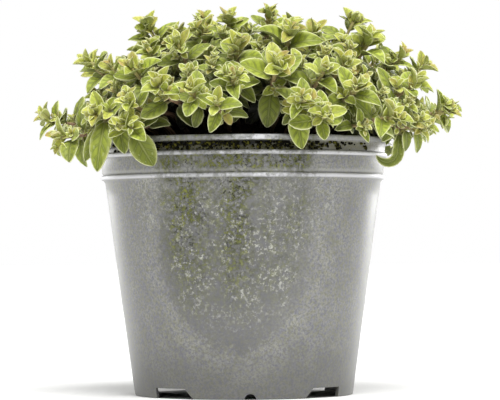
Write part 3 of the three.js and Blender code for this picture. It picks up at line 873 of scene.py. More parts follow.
def add_sprig_leaves(heap, sprig):
    random = sprig.random
    for k, (down, length, width, spread, fold) in enumerate(SPRIG_PAIRS):
        for side in (0, 1):
            turn = sprig.roll + 180 * side + 90 * k + SPRIG_LEAF_TURN * random()
            away = spread + SPRIG_LEAF_SPREAD * random()
            age = SPRIG_AGE + SPRIG_AGE_SPREAD * random()
            leaf = leaf_on(sprig, down, turn, away, length * sprig.size, width, SPRIG_BEND, fold, age)
            if not any(in_pot_or_soil(point, SPRIG_GAP) for point in leaf_cloud(leaf)):
                add_blade(heap, leaf, random)


def add_shoot(heap, shoot):
    """A shoot's stem, its leaves, its bud, and sprigs in some of its axils, more on large shoots."""
    add_stem(heap, shoot)
    for leaf in shoot.leaves:
        add_blade(heap, leaf, shoot.random)
    add_bud(heap, shoot)
    for pair in range(1, shoot.pairs):
        for opposite in (0, 1):
            if shoot.random() <= SPRIG_SHARE * min(1, shoot.size + SPRIG_SIZE_MARGIN):
                add_sprig_leaves(heap, axil_sprig(shoot, pair, opposite))


# ---- materials


def srgb(code):
    """A linear colour from a #rrggbb code."""
    parts = [int(code[i : i + 2], 16) / 255 for i in (1, 3, 5)]
    return [c / 12.92 if c <= 0.04045 else ((c + 0.055) / 1.055) ** 2.4 for c in parts] + [1.0]


def operator(name, flipped=False):
    """A method by which terms are combined in a node of a material."""

    def apply(term, other=None):
        return term.paint.math(name, *((other, term) if flipped else (term, other)))

    return apply


class Term:
    """A number or colour that a material's nodes work out, for sums and products with others."""

    def __init__(self, paint, socket):
        self.paint = paint
        self.socket = socket

    __add__ = operator("ADD")
    __radd__ = operator("ADD", flipped=True)
    __sub__ = operator("SUBTRACT")
    __rsub__ = operator("SUBTRACT", flipped=True)
    __mul__ = operator("MULTIPLY")
    __truediv__ = operator("DIVIDE")
    __abs__ = operator("ABSOLUTE")


class Paint:
    """A material whose colour is laid on in coats. Colours are given as #rrggbb codes or terms."""

    def __init__(self, name, roughness, specular=0.5):
        self.material = bpy.data.materials.new(name)
        self.material.use_nodes = True
        self.tree = self.material.node_tree
        self.shader = self.tree.nodes["Principled BSDF"]
        self.shader.inputs["Roughness"].default_value = roughness
        self.shader.inputs["Specular IOR Level"].default_value = specular
        self.colour = None

    def put(self, socket, value):
        if isinstance(value, Term):
            self.tree.links.new(value.socket, socket)
        elif value is not None:
            socket.default_value = value

    def node(self, kind, inputs, output=0, **settings):
        made = self.tree.nodes.new("ShaderNode" + kind)
        for key, value in settings.items():
            setattr(made, key, value)
        for key, value in inputs.items():
            self.put(made.inputs[key], value)
        return Term(self, made.outputs[output])

    def place(self, stretch=(1, 1, 1)):
        """The piece's own coordinates in millimetres."""
        own = self.node("TexCoord", {}, output=3)
        return self.node("VectorMath", {0: own, 1: [v / MM for v in stretch]}, operation="MULTIPLY")

    def split(self, vector):
        made = self.tree.nodes.new("ShaderNodeSeparateXYZ")
        self.put(made.inputs[0], vector)
        return [Term(self, output) for output in made.outputs]

    def values(self, name):
        return self.split(self.node("Attribute", {}, output=1, attribute_name=name))

    def math(self, operation, a, b=None):
        return self.node("Math", {0: a, 1: b}, operation=operation)

    def most(self, first, *others):
        for other in others:
            first = self.math("MAXIMUM", first, other)
        return first

    def step(self, value, low, high):
        """Rises smoothly from 0 at low to 1 at high."""
        return self.node("MapRange", {0: value, 1: low, 2: high}, interpolation_type="SMOOTHSTEP")

    def hump(self, value, middle, width):
        """1 where the value is at the middle, falling to 0 a width away."""
        return self.step(abs(value - middle), width, 0)

    def noise(self, size, detail=2, stretch=(1, 1, 1), roughness=0.5):
        """Noise from 0 to 1 whose lumps are about size millimetres across."""
        inputs = {"Vector": self.place(stretch), "Scale": 1 / size, "Detail": detail, "Roughness": roughness}
        return self.node("TexNoise", inputs)

    def patches(self, low, high, size, detail=2, **shape):
        """Noise that is cut off to 0 under low and to 1 over high."""
        return self.step(self.noise(size, detail, **shape), low, high)

    def crumpled(self, value, amount, size):
        """The value with a wandering amount added to it."""
        return value + (self.noise(size, 5, roughness=0.75) - 0.5) * amount

    def bush_depth(self):
        """1 on the dome that the shoot tips lie on, and less inside the bush, where leaves and stems get
        painted shade.
        """
        x, y, z = self.split(self.place())
        x, y, z = x / (0.5 * (DOME_LEFT + DOME_RIGHT)), y / DOME_DEPTH, (z - DOME_FOOT_Z) / DOME_HEIGHT
        return self.math("SQRT", x * x + y * y + z * z)

    def mix(self, share, a, b, blend="MIX"):
        a, b = (srgb(colour) if isinstance(colour, str) else colour for colour in (a, b))
        inputs = {0: share, 6: a, 7: b}
        return self.node("Mix", inputs, output=2, data_type="RGBA", blend_type=blend)

    def coat(self, colour, share, strength=1, blend="MIX"):
        """Lays a colour over what is there already, where the share says."""
        if strength != 1:
            share = share * strength
        self.colour = self.mix(share, self.colour, colour, blend)

    def finish(self, height=None, depth=0.1, roughness=None):
        self.put(self.shader.inputs["Base Color"], self.colour)
        self.put(self.shader.inputs["Roughness"], roughness)
        if height is not None:
            bump = self.node("Bump", {"Height": height, "Distance": depth * MM})
            self.put(self.shader.inputs["Normal"], bump)
        return self.material


# Ages between which a blade's colour changes, and millimetres from its edge or rib.
TO_MIDDLE_AGE = (0.05, 0.5)
TO_OLD_AGE = (0.45, 1.0)
MARGIN_FADE = (0.48, 0.22)
RIB_SIDE_FADE = (0.3, 1.1)


def leaf_paint():
    """Yellow-green blades, older ones greener, with a pale margin and sunken veins, and painted shade in the
    vein creases, by the stalk and deep in the bush.
    """
    p = Paint("oregano_leaf", roughness=0.5, specular=0.35)
    p.shader.inputs["Sheen Weight"].default_value = 0.08
    along, across, half = p.values("blade")
    age, tone, pink = p.values("life")
    edge = abs(across)
    p.colour = p.mix(tone, "#c5c850", "#dfe170")
    p.coat(p.mix(tone, "#9dab34", "#c5d454"), p.step(age, *TO_MIDDLE_AGE))
    p.coat(p.mix(tone, "#6a7420", "#9ba63c"), p.step(age, *TO_OLD_AGE))
    p.coat("#6f7c22", p.patches(0.35, 0.7, 2.2, 3), 0.4)
    from_vein = abs(p.math("FRACT", (along - edge * VEIN_SLANT) * VEIN_COUNT) - 0.5)
    lateral = p.step(from_vein, 0.4, 0.5) * (1 - p.step(edge, 0.55, 0.95))
    veins = p.most(1 - p.step(edge, 0.02, 0.12), lateral * 0.6)
    # Painted shade: older blades are darkened in the creases beside the midrib and along the veins.
    beside_rib = 1 - p.step(edge * abs(half), *RIB_SIDE_FADE)
    beside_vein = p.step(from_vein, 0.18, 0.45) * (1 - p.step(edge, 0.6, 0.9))
    p.coat("#5a681c", p.most(beside_rib, beside_vein) * p.step(age, 0.1, 0.7), 0.6)
    p.coat("#b8bc70", veins, 0.45)
    ragged = edge + (p.noise(1.3, 2) - 0.5) * 0.3
    p.coat("#d3d884", p.step(ragged, 0.55, 1.0), 0.35)
    p.coat("#ecefba", p.step((1 - edge) * abs(half), *MARGIN_FADE), 0.78)
    blush = p.step(pink, 0.45, 1) * (1 - p.step(age, 0.1, 0.6)) * p.patches(0.3, 0.7, 3)
    p.coat("#bb8f62", blush, 0.6)
    underside = p.step(half, 0.1, -0.3)
    p.coat("#b3bb80", underside, 0.45)
    p.coat("#b7a27c", p.step(along, 0.04, 0), 0.7)
    # Painted shade at the foot of the blade, by the stalk.
    p.coat("#8c8a50", p.step(along, 0.35, 0), 0.5, "MULTIPLY")
    # Painted shade: blades deeper in the bush are darkened.
    p.coat("#333326", p.step(p.bush_depth(), 0.95, 0.6), blend="MULTIPLY")
    return p.finish(p.noise(0.5, 3) * 0.5 - veins, depth=0.2)


def stem_paint():
    """Brown at the foot, pink-brown along its length and green under the tip, with painted shade deep in the
    bush.
    """
    p = Paint("oregano_stem", roughness=0.6, specular=0.35)
    along, corner, _ = p.values("blade")
    p.colour = p.mix(p.step(along, 0.1, 0.6), "#55412b", "#9a7a63")
    p.coat("#a9a564", p.step(along, 0.75, 1.0))
    p.coat("#b7a079", p.step(corner, 0.95, 1.15), 0.35)
    p.coat("#7d5f4d", p.patches(0.45, 0.7, 1.6, 3), 0.5)
    # Painted shade: stems deeper in the bush are darkened.
    p.coat("#3a3733", p.step(p.bush_depth(), 0.8, 0.35), blend="MULTIPLY")
    return p.finish(p.noise(0.35, 2, stretch=(1, 1, 0.4)), depth=0.15)


# Stains on the pot lie in a U on its front and, weaker, on its back. Its middle and half width are
# shares of the pot's radius. Its sides start to bend at one height and meet at another.
FILM_MIDDLE = -0.05
FILM_HALF_WIDTH = 0.57
FILM_BEND_Z = 55.0
FILM_FOOT_Z = 18.0
BACK_WEAKNESS = 0.62

# Heights between which marks on the pot fade in or out.
LOW_FILM_FADE = (86, 62)
SPLASH_FADE = (32, 2)
STAIN_FADE = (30, 80)
SIDE_LIME_FADE = (56, 74)
LIME_MIDDLE_Z, LIME_REACH = 58, 44
DAMP_FADE = (28, 74)
DRIP_FADE = (74, 88)
COLLAR_ALGAE_FADE = (87, 90)
LIP_WEAR_AND_HIGHLIGHT_FADE = (99.8, 100.2)
CRUST_AND_SHADE_FADE = (94.6, 97.6)
BLACK_FADE = (97.5, 98.1)
UNDER_LIP_FADE = (99.9, 99.5)
INSIDE_FADE = (90, 96)


class PotPaint(Paint):
    """Grey plastic. Each method lays one kind of mark over those before it."""

    def __init__(self):
        super().__init__("grey_plastic", roughness=0.32)
        x, y, self.z = self.split(self.place())
        self.reach = self.math("SQRT", x * x + y * y)
        ahead = y / self.reach
        self.facing = self.most(ahead * -1, ahead * BACK_WEAKNESS)
        self.aside = x / self.reach - FILM_MIDDLE
        across = self.aside / FILM_HALF_WIDTH
        below = self.math("MINIMUM", (self.z - FILM_BEND_Z) / (FILM_BEND_Z - FILM_FOOT_Z), 0)
        smooth_inward = 1 - self.math("SQRT", across * across + below * below)
        self.inward = self.crumpled(self.crumpled(smooth_inward, 0.5, 12), 0.4, 1.2)
        self.ahead_or_back = self.step(self.facing, 0.45, 0.75)
        self.film = self.step(self.inward, -0.06, 0.06) * self.ahead_or_back
        self.grain = self.patches(0.38, 0.62, 0.9, 4, roughness=0.75)
        self.colour = self.mix(self.noise(40, 4), "#686869", "#747473")

    def dust(self):
        """The film, tints, dust, a pale tide line round the film, streaks, and a splashed foot."""
        clear_side = 1 - self.step(self.aside, 0.1, 0.5) * 0.7
        low_film = self.film * clear_side * self.step(self.crumpled(self.z, 30, 12), *LOW_FILM_FADE)
        self.coat("#5c5c5a", low_film, 0.55)
        tint = self.mix(self.patches(0.38, 0.62, 1.3, 3, roughness=0.6), "#6a6a82", "#80805c")
        self.coat(tint, 0.5 - self.film * 0.3)
        cloud = self.patches(0.3, 0.7, 9, 4, roughness=0.6)
        dust = self.grain * (1 - low_film * 0.75) * (0.26 + cloud * 0.32)
        self.coat("#a3a39d", dust)
        halo = self.hump(self.inward, -0.12, 0.22) * self.step(self.facing, 0.3, 0.6)
        self.coat("#b2b2a8", halo * self.grain * (0.12 + cloud * 0.28))
        self.coat("#929292", self.patches(0.5, 0.75, 3.5, 3, stretch=(1, 1, 0.07)), 0.12)
        self.coat("#4f4f4c", self.step(self.crumpled(self.z, 26, 14), *SPLASH_FADE), 0.6)
        return dust

    def stain(self):
        blotches = self.patches(0.3, 0.65, 5, 5, roughness=0.65)
        place = self.step(self.inward, 0, 0.5) * self.ahead_or_back * self.step(self.z, *STAIN_FADE)
        stain = place * blotches
        self.coat("#626266", stain, 0.25)
        return stain

    def lime(self):
        """Pale specks within the film and, higher up, beside it."""
        beside = self.step(abs(self.aside), 0.85, 0.6) * self.step(self.z, *SIDE_LIME_FADE) * 0.7
        spotted = self.most(self.step(self.inward, 0.06, 0.25), beside) * self.step(self.facing, 0.35, 0.7)
        patches = self.patches(0.3, 0.55, 9, 3)
        place = spotted * self.hump(self.z, LIME_MIDDLE_Z, LIME_REACH) * patches
        lime = self.patches(0.53, 0.6, 1.5, 5, roughness=0.78) * place
        self.coat("#d4d4cc", lime, 0.85)
        return lime

    def algae_and_dirt(self):
        """Algae and black dirt in two swaying strands, over the collar, and in a drip."""
        swaying = self.crumpled(self.aside, 0.35, 12)
        strands = self.most(
            self.hump(swaying, 0, 0.15),
            self.hump(swaying, -0.36, 0.2),
            self.step(self.crumpled(self.z, 4, 5), *COLLAR_ALGAE_FADE),
        )
        damp = self.film * self.step(self.inward, 0, 0.2) * self.step(self.z, *DAMP_FADE) * (0.3 + strands)
        patches = self.patches(0.3, 0.52, 8, 4, roughness=0.6)
        algae = self.patches(0.48, 0.54, 1.6, 6, roughness=0.85) * self.math("SQRT", damp) * patches
        self.coat(self.mix(self.patches(0.3, 0.7, 3), "#4a4f16", "#858a2a"), algae, 0.85)
        wet = damp + self.hump(swaying, 0, 0.07) * self.step(self.z, *DRIP_FADE)
        specks = self.patches(0.55, 0.6, 1.1, 5, roughness=0.8)
        dirt = specks * wet * self.patches(0.38, 0.58, 6, 2)
        self.coat("#1c1a0e", dirt, 0.9)
        return algae, dirt

    def wear_and_painted_light(self):
        """Dust on the lower bead's ledge, lightened there as painted light over its shade, and beads and lip
        rubbed pale and brightened as painted highlights.
        """
        # Partly dust and partly painted light: the collar just above the lower bead is lightened where shade
        # falls.
        self.coat("#aaaaa4", self.hump(self.z, LOWER_BEAD_Z + 1.8, 1.6), 0.4)
        # Partly rubbing and partly painted highlight: the bead crests and the lip are painted almost white.
        lip_wear_and_highlight = 0.3 + self.hump(self.crumpled(self.aside, 0.3, 8), 0.1, 0.4) * 0.7
        worn_and_highlit = self.most(
            self.hump(self.reach, UPPER_BEAD_RADIUS, 0.9),
            self.hump(self.reach, LOWER_BEAD_RADIUS, 0.9) * self.hump(self.z, LOWER_BEAD_Z, 2.8),
            self.step(self.z, *LIP_WEAR_AND_HIGHLIGHT_FADE) * self.step(self.reach, 57.5, 58.5) * lip_wear_and_highlight,
        )
        spared = 1 - self.patches(0.45, 0.6, 2.5, 4, roughness=0.7) * self.film * 0.55
        self.coat("#dadade", worn_and_highlit * spared, 0.95)

    def lip_shade(self):
        """Olive dirt under the lip that is partly painted shade, a painted shadow that is very dark right
        under the lip, and painted shade on the inside wall over the soil.
        """
        under_lip = self.step(self.z, *UNDER_LIP_FADE)
        # Partly olive dirt and partly painted shade under the lip, growing darker towards the lip.
        crust_and_shade = self.step(self.crumpled(self.z, 4, 3), *CRUST_AND_SHADE_FADE) * under_lip
        self.coat("#504e29", crust_and_shade * self.step(self.facing, 0.15, 0.4) * (0.55 + self.grain * 0.37))
        # Painted shadow: a very dark band right under the lip.
        thinned = self.crumpled(self.z, 2.5, 4) - self.step(self.aside, 0, 0.5) * 2.2
        black = self.step(thinned, *BLACK_FADE) * under_lip * self.step(self.facing, 0.2, 0.5)
        self.coat("#050504", black, 0.97)
        # Painted shade on the pot's inside wall over the soil.
        self.coat("#1e1c14", self.step(self.reach, 57, 55.5) * self.step(self.z, *INSIDE_FADE), 0.9)
        return black


def pot_paint():
    """Weathered grey plastic with dust, lime, algae and dirt, beads and lip rubbed pale with painted
    highlights, and painted shade under the lip and inside.
    """
    p = PotPaint()
    dust = p.dust()
    stain = p.stain()
    lime = p.lime()
    algae, dirt = p.algae_and_dirt()
    p.wear_and_painted_light()
    black = p.lip_shade()
    height = lime * 0.6 + algae + dirt + p.noise(0.8, 2) * 0.2
    roughness = 0.3 + p.most(stain, lime, algae, dust, black) * 0.3
    return p.finish(height, depth=0.14, roughness=roughness)


def soil_paint():
    p = Paint("dark_compost", roughness=0.95, specular=0.1)
    p.colour = p.mix(p.patches(0.3, 0.7, 2.5, 4, roughness=0.7), "#120d09", "#2c2118")
    p.coat("#5a4630", p.patches(0.68, 0.72, 1.2, 2))
    return p.finish(p.noise(0.9, 5, roughness=0.7), depth=0.8)


def moss_paint():
    p = Paint("moss", roughness=0.95, specular=0.1)
    p.colour = p.mix(p.patches(0.5, 0.66, 1.4, 3), "#0c0b06", "#5a5820")
    return p.finish(p.noise(0.3, 3), depth=0.2)


# ---- pot

# The pot's finer form. The fillet under the lip is given outwards and up from its inner corner.
POT_COLUMNS = 192
LIP_CORNER = 0.9
LIP_FILLET = [(-0.05, -0.5), (0.25, 0)]
INNER_FILLET = 1
BEAD_HALF_HEIGHT = 1.0
ARC_STEPS = 6
STEP_DROP = 1.0
WALL_FOOT_Z = 1.5
WALL_STEPS = 14
BASE_RING = 0.6
BASE_FILLET = 0.6
FOOT_BEVEL = 0.2
FOOT_CORNER = 0.5
LIP_EDGE = 0.3
NOTCH_CUT = 12.0
VENT_CUT = 8.0
ROUND_SIDES = 24
SHARP_ANGLE = 40


def arc(radius, z, size, start, stop):
    """Profile points on a quarter or half round of a corner or bead."""
    angles = np.radians(np.linspace(start, stop, ARC_STEPS + 1))
    return [(radius + size * math.cos(a), z + size * math.sin(a)) for a in angles]


def straight(start, stop, steps):
    return [tuple(lerp(np.array(start), np.array(stop), k / steps)) for k in range(steps + 1)]


def bead_round(radius, z):
    """A bead, and the wall a little below and above it."""
    foot, top = z - 2 * BEAD_HALF_HEIGHT, z + 2 * BEAD_HALF_HEIGHT
    bulge = arc(radius - BEAD_HALF_HEIGHT, z, BEAD_HALF_HEIGHT, -90, 90)
    return [(collar_radius(foot), foot), *bulge, (collar_radius(top), top)]


def pot_profile():
    """Radius and height round the pot's section, from the underside outwards and up, then back in."""
    lip_foot = POT_HEIGHT - LIP_HEIGHT
    lip_corner = POT_HEIGHT - LIP_CORNER
    base_top = BASE_UNDERSIDE_Z + BASE_THICKNESS
    under_radius = body_radius(BASE_UNDERSIDE_Z) - WALL
    wall_top = BODY_TOP_Z - STEP_DROP
    return [
        (0, BASE_UNDERSIDE_Z),
        (BASE_RING * FOOT_INNER_RADIUS, BASE_UNDERSIDE_Z),
        (under_radius - BASE_FILLET, BASE_UNDERSIDE_Z),
        (under_radius, BASE_UNDERSIDE_Z - BASE_FILLET),
        (FOOT_INNER_RADIUS, FOOT_BEVEL),
        (FOOT_INNER_RADIUS + FOOT_BEVEL, 0),
        *arc(BODY_FOOT_RADIUS - FOOT_CORNER, FOOT_CORNER, FOOT_CORNER, -90, 0),
        *straight((body_radius(WALL_FOOT_Z), WALL_FOOT_Z), (body_radius(wall_top), wall_top), WALL_STEPS),
        *bead_round(LOWER_BEAD_RADIUS, LOWER_BEAD_Z)[1:],
        *bead_round(UPPER_BEAD_RADIUS, UPPER_BEAD_Z),
        *((collar_radius(lip_foot) + out, lip_foot + up) for out, up in LIP_FILLET),
        *arc(RIM_RADIUS - LIP_EDGE, lip_foot + LIP_EDGE, LIP_EDGE, -90, 0),
        *arc(RIM_RADIUS - LIP_CORNER, lip_corner, LIP_CORNER, 0, 90),
        *arc(COLLAR_TOP_RADIUS - WALL + LIP_CORNER, lip_corner, LIP_CORNER, 90, 180),
        (COLLAR_FOOT_RADIUS - WALL, LOWER_BEAD_Z),
        (BODY_TOP_RADIUS - WALL, wall_top),
        (body_radius(base_top + INNER_FILLET) - WALL, base_top + INNER_FILLET),
        (body_radius(base_top) - WALL - INNER_FILLET, base_top),
        (0, base_top),
    ]


def turned_mesh(name, profile, columns):
    """A closed solid of revolution. The first and last points of the profile lie on the axis."""
    ring = profile[1:-1]
    angles = np.arange(columns) * 2 * math.pi / columns
    points = [(0, 0, profile[0][1])]
    for radius, z in ring:
        points += [around(radius, a, z) for a in angles]
    points.append((0, 0, profile[-1][1]))
    faces = []
    for j in range(columns):
        k = (j + 1) % columns
        faces.append((0, 1 + k, 1 + j))
        for i in range(len(ring) - 1):
            low, high = 1 + i * columns, 1 + (i + 1) * columns
            faces.append((low + j, low + k, high + k, high + j))
        last = 1 + (len(ring) - 1) * columns
        faces.append((len(points) - 1, last + j, last + k))
    mesh = bpy.data.meshes.new(name)
    mesh.from_pydata([[v * MM for v in point] for point in points], [], faces)
    return mesh


def prism(outline_points, depth, matrix):
    """Points and faces of an upright prism, centred on its own middle and moved by the matrix."""
    count = len(outline_points)
    points = [matrix @ Vector((x, y, side * depth / 2)) for side in (-1, 1) for x, y in outline_points]
    faces = [tuple(range(count))[::-1], tuple(range(count, 2 * count))]
    faces += [(i, (i + 1) % count, (i + 1) % count + count, i + count) for i in range(count)]
    return points, faces


def circle(radius, sides):
    return [around(radius, 2 * math.pi * k / sides)[:2] for k in range(sides)]


def pot_cutters():
    """Foot notches, small round vents between them, and drain holes."""
    middle = (NOTCH_START + NOTCH_END) / 2
    slant = (NOTCH_START_TOP - NOTCH_START) / NOTCH_HEIGHT
    foot = [(NOTCH_START - slant, -1), (NOTCH_END, -1)]
    corners = [*foot, (NOTCH_END, NOTCH_HEIGHT), (NOTCH_START_TOP, NOTCH_HEIGHT)]
    upright = Matrix(((0, 0, 1, 0), (1, 0, 0, 0), (0, 1, 0, 0), (0, 0, 0, 1)))
    outwards = Matrix.Translation((BODY_FOOT_RADIUS, 0, 0)) @ upright
    cutters = []
    for turn in (0, 180):
        for side in (1, -1):
            half = side * BODY_FOOT_RADIUS
            shape = [(half * math.sin(math.radians(angle - middle)), z) for angle, z in corners]
            spin = Matrix.Rotation(math.radians(FOOT_TURN + turn + side * middle), 4, "Z")
            cutters.append(prism(shape[::side], NOTCH_CUT, spin @ outwards))
        for quarter in (0, 90):
            spin = Matrix.Rotation(math.radians(FOOT_TURN + turn + quarter), 4, "Z")
            cutters.append(prism(circle(VENT_RADIUS, ROUND_SIDES), VENT_CUT, spin @ outwards))
    for k in range(DRAIN_COUNT + 1):
        ring = DRAIN_CIRCLE_RADIUS if k < DRAIN_COUNT else 0
        at = around(ring, 2 * math.pi * k / DRAIN_COUNT, BASE_UNDERSIDE_Z)
        place = Matrix.Translation(Vector(at))
        cutters.append(prism(circle(DRAIN_RADIUS, ROUND_SIDES), 4 * BASE_THICKNESS, place))
    points, faces = [], []
    for cutter_points, cutter_faces in cutters:
        faces += [tuple(len(points) + i for i in face) for face in cutter_faces]
        points += [MM * point for point in cutter_points]
    mesh = bpy.data.meshes.new("cutters")
    mesh.from_pydata(points, [], faces)
    return mesh


def cut_away(solid, cutters):
    """The first object less the second, as a new mesh."""
    link(solid)
    link(cutters)
    boolean = solid.modifiers.new("cut", "BOOLEAN")
    boolean.object = cutters
    boolean.solver = "EXACT"
    graph = bpy.context.evaluated_depsgraph_get()
    made = bpy.data.meshes.new_from_object(solid.evaluated_get(graph))
    for piece in (solid, cutters):
        bpy.data.objects.remove(piece)
    return made


def make_pot(material):
    whole = bpy.data.objects.new("whole", turned_mesh("whole", pot_profile(), POT_COLUMNS))
    mesh = cut_away(whole, bpy.data.objects.new("cutters", pot_cutters()))
    mesh.name = "nursery_pot"
    mesh.materials.append(material)
    smooth(mesh)
    mesh.set_sharp_from_angle(angle=math.radians(SHARP_ANGLE))
    ride(mesh, "pot_plastic", "pot")


# ---- compost and moss

SOIL_COLUMNS = 120
SOIL_RINGS = 36
SOIL_FOOT_BEVEL = 2
LEVEL_EDGE = 0.5

# The soil's lumps: size, share of their height, and seed.
SOIL_LUMPS = [(6, 1, 1), (2.5, 0.6, 5)]
SOIL_LUMP_HEIGHT = 1.1

LUMP_ROWS, LUMP_COLUMNS = 5, 8
LUMP_CAP = 0.12
LUMP_SQUEEZE = (0.7, 1.3)
LUMP_RAGGED = 0.5
LUMP_GRAIN = 0.8

CRUMB_SEED = 41
CRUMB_COUNT = 420
CRUMB_REACH = 51
CRUMB_SIZES = (0.5, 1.5)
CRUMB_LIFT = 0.3
CRUMB_FLATNESS = 0.7

# Moss: how much is at the front, the directions of the front and back growth and how far each
# spreads, how it crowds up under the lip, and how much smaller it is at the bead.
MOSS_SEED = 77
MOSS_COUNT = 520
MOSS_SIZES = (0.35, 0.95)
MOSS_FRONT_SHARE = 0.7
MOSS_FRONT, MOSS_BACK = -92, 80
MOSS_SPREAD = 62
MOSS_CROWDING = 1.6
MOSS_TOP_Z = POT_HEIGHT - LIP_HEIGHT - 0.3
MOSS_FOOT_Z = UPPER_BEAD_Z + 1
MOSS_SHRINKING = 0.7
MOSS_LIFT = 0.25


def lumps(point, size, seed):
    return noise.noise(Vector(point) / size + Vector((seed, 0, 0)))


def make_soil(material):
    base_top = BASE_UNDERSIDE_Z + BASE_THICKNESS + CLEARANCE
    edge = collar_radius(SOIL_EDGE_Z) - WALL - CLEARANCE
    radii = [edge * (1 - k / SOIL_RINGS) for k in range(SOIL_RINGS + 1)]
    profile = [
        (0, base_top),
        (body_radius(base_top) - WALL - SOIL_FOOT_BEVEL, base_top),
        (BODY_TOP_RADIUS - WALL - CLEARANCE, BODY_TOP_Z - STEP_DROP),
        (COLLAR_FOOT_RADIUS - WALL - CLEARANCE, LOWER_BEAD_Z),
        *((radius, soil_top(radius)) for radius in radii),
    ]
    mesh = turned_mesh("compost", profile, SOIL_COLUMNS)
    for vertex in mesh.vertices:
        x, y, z = vertex.co / MM
        if z > SOIL_EDGE_Z - LEVEL_EDGE and math.hypot(x, y) < edge - LEVEL_EDGE:
            rough = sum(share * lumps((x, y, z), size, seed) for size, share, seed in SOIL_LUMPS)
            vertex.co.z += SOIL_LUMP_HEIGHT * rough * MM
    smooth(mesh)
    mesh.materials.append(material)
    ride(mesh, "compost", "soil")


@lru_cache
def lump_shape():
    """A rounded lump of quads: rings between two small caps."""
    polar = np.linspace(math.pi - LUMP_CAP, LUMP_CAP, LUMP_ROWS)
    turns = np.arange(LUMP_COLUMNS) * 2 * math.pi / LUMP_COLUMNS
    points = [around(math.sin(a), turn, math.cos(a)) for a in polar for turn in turns]
    return np.array(points), tube_quads(LUMP_ROWS)


def add_lump(heap, at, size, random, flatness):
    points, quads = lump_shape()
    squeeze = [lerp(*LUMP_SQUEEZE, random()) for _ in range(3)]
    seed = 100 * random()
    ragged = np.array([1 + LUMP_RAGGED * lumps(point, LUMP_GRAIN, seed) for point in points])
    spin = np.array(Matrix.Rotation(2 * math.pi * random(), 3, "Z"))
    shaped = (points * ragged[:, None] * squeeze * [1, 1, flatness] * size) @ spin
    heap.add(shaped + at, quads, np.zeros((len(points), 3)), np.zeros(3), 0)


def make_crumbs(material):
    heap, random = Heap(), seeded(CRUMB_SEED)
    for _ in range(CRUMB_COUNT):
        radius, turn = CRUMB_REACH * math.sqrt(random()), 2 * math.pi * random()
        size = lerp(*CRUMB_SIZES, random() ** 2)
        at = around(radius, turn, soil_top(radius) + CRUMB_LIFT * size)
        add_lump(heap, at, size, random, CRUMB_FLATNESS)
    ride(heap.build("compost_crumbs", [material]), "compost")


def make_moss(material):
    """Moss and dirt caught under the lip and over the upper bead, mostly at the front and back."""
    heap, random = Heap(), seeded(MOSS_SEED)
    for _ in range(MOSS_COUNT):
        middle = MOSS_FRONT if random() < MOSS_FRONT_SHARE else MOSS_BACK
        turn = math.radians(middle + MOSS_SPREAD * (random() + random() - 1))
        hang = random() ** MOSS_CROWDING
        z = lerp(MOSS_TOP_Z, MOSS_FOOT_Z, hang)
        size = lerp(*MOSS_SIZES, random() ** 2) * lerp(1, MOSS_SHRINKING, hang)
        at = around(collar_radius(z) + MOSS_LIFT * size, turn, z)
        add_lump(heap, at, size, random, 1)
    ride(heap.build("moss", [material]), "foliage")


# ---- stage, light and camera

CAMERA_DISTANCE = 1130.0
CAMERA_HEIGHT = 58.9
CAMERA_LENS = 202.8
CAMERA_ROLL = 0.3
SENSOR_WIDTH = 36
LOOK_AT = (2.8, 0.0, 77.8)
SUN_FROM = (0.12, -0.6, 1.1)
SUN_ANGLE = 38
SUN_STRENGTH = 3.3
FILL = 0.34

# In metres: how far the camera sees, the floor's half side, and the side lamps with their watts.
CAMERA_CLIP = (0.05, 30)
FLOOR_REACH = 8.0
SIDE_LAMPS = [("side_left", (-0.9, 1.2, 0.15), 6), ("side_right", (0.9, 1.2, 0.35), 12)]
SIDE_LAMP_SIZE = 0.8
SIDE_LAMP_TARGET = (0, 0, 0.1)


def aim(piece, at, target, roll=0):
    """Puts a lamp or camera at a place and turns it to its target."""
    spin = Matrix.Rotation(math.radians(-roll), 4, "Z").to_quaternion()
    piece.location = at
    piece.rotation_mode = "QUATERNION"
    piece.rotation_quaternion = (target - at).to_track_quat("-Z", "Y") @ spin
    link(piece)


def make_floor():
    floor = bpy.data.meshes.new("floor")
    corners = [(-1, -1), (1, -1), (1, 1), (-1, 1)]
    floor.from_pydata([(FLOOR_REACH * x, FLOOR_REACH * y, 0) for x, y in corners], [], [(0, 1, 2, 3)])
    p = Paint("pale_floor", roughness=0.9, specular=0.1)
    p.colour = p.mix(p.noise(400), "#fafaf9", "#fdfdfc")
    floor.materials.append(p.finish())
    piece = bpy.data.objects.new("floor", floor)
    link(piece)


def make_lamp(name, kind, at, target, power):
    light = bpy.data.lights.new(name, kind)
    light.energy = power
    aim(bpy.data.objects.new(name, light), Vector(at), Vector(target))
    return light


def make_lights():
    sun = make_lamp("sky_window", "SUN", SUN_FROM, (0, 0, 0), SUN_STRENGTH)
    sun.angle = math.radians(SUN_ANGLE)
    for name, at, power in SIDE_LAMPS:
        light = make_lamp(name, "AREA", at, SIDE_LAMP_TARGET, power)
        light.shape = "DISK"
        light.size = SIDE_LAMP_SIZE


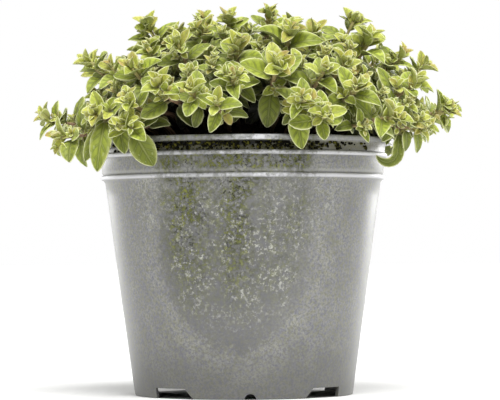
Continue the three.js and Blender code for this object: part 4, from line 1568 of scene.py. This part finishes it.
def make_world():
    """White to the camera and in reflections, and dimmer as the light that fills the shadows."""
    world = bpy.data.worlds.new("studio")
    world.use_nodes = True
    tree = world.node_tree
    background = tree.nodes["Background"]
    background.inputs["Color"].default_value = (1, 1, 1, 1)
    path = tree.nodes.new("ShaderNodeLightPath")
    strength = tree.nodes.new("ShaderNodeMapRange")
    strength.inputs["To Min"].default_value = 1.0
    strength.inputs["To Max"].default_value = FILL
    tree.links.new(path.outputs["Is Diffuse Ray"], strength.inputs["Value"])
    tree.links.new(strength.outputs[0], background.inputs["Strength"])
    bpy.context.scene.world = world


def make_camera():
    lens = bpy.data.cameras.new("camera")
    lens.lens = CAMERA_LENS
    lens.sensor_width = SENSOR_WIDTH
    lens.clip_start, lens.clip_end = CAMERA_CLIP
    camera = bpy.data.objects.new("camera", lens)
    at = Vector((0, -CAMERA_DISTANCE, CAMERA_HEIGHT)) * MM
    aim(camera, at, Vector(LOOK_AT) * MM, CAMERA_ROLL)
    bpy.context.scene.camera = camera


# ---- the plant


def make_plant():
    stems, leaves = Crowd(STEM_SPACING), Crowd(LEAF_GAP)
    shoots = place_stems(stems)
    for shoot in shoots:
        leaves.add(stem_cloud(shoot.path), shoot.index)
    hang_leaves(shoots, leaves)
    place_leaves(shoots, leaves, LEAF_GAP)
    heaps = [Heap() for _ in shoots]
    for heap, shoot in zip(heaps, shoots):
        add_shoot(heap, shoot)
    for inner in place_inner(shoots, stems, leaves):
        nearest = min(shoots, key=lambda shoot: math.dist(shoot.path[-1], inner.path[-1]))
        add_shoot(heaps[nearest.index], inner)
    paints = [leaf_paint(), stem_paint()]
    for shoot, heap in zip(shoots, heaps):
        number = f"{shoot.index + 1:02d}"
        ride(heap.build(f"oregano_shoot_{number}", paints), "foliage", f"leafy_stem_{number}")


make_plant()
make_pot(pot_paint())
compost = soil_paint()
make_soil(compost)
make_crumbs(compost)
make_moss(moss_paint())
make_floor()
make_lights()
make_world()
make_camera()
bpy.context.scene.view_settings.view_transform = "Standard"

bpy.context.view_layer.update()
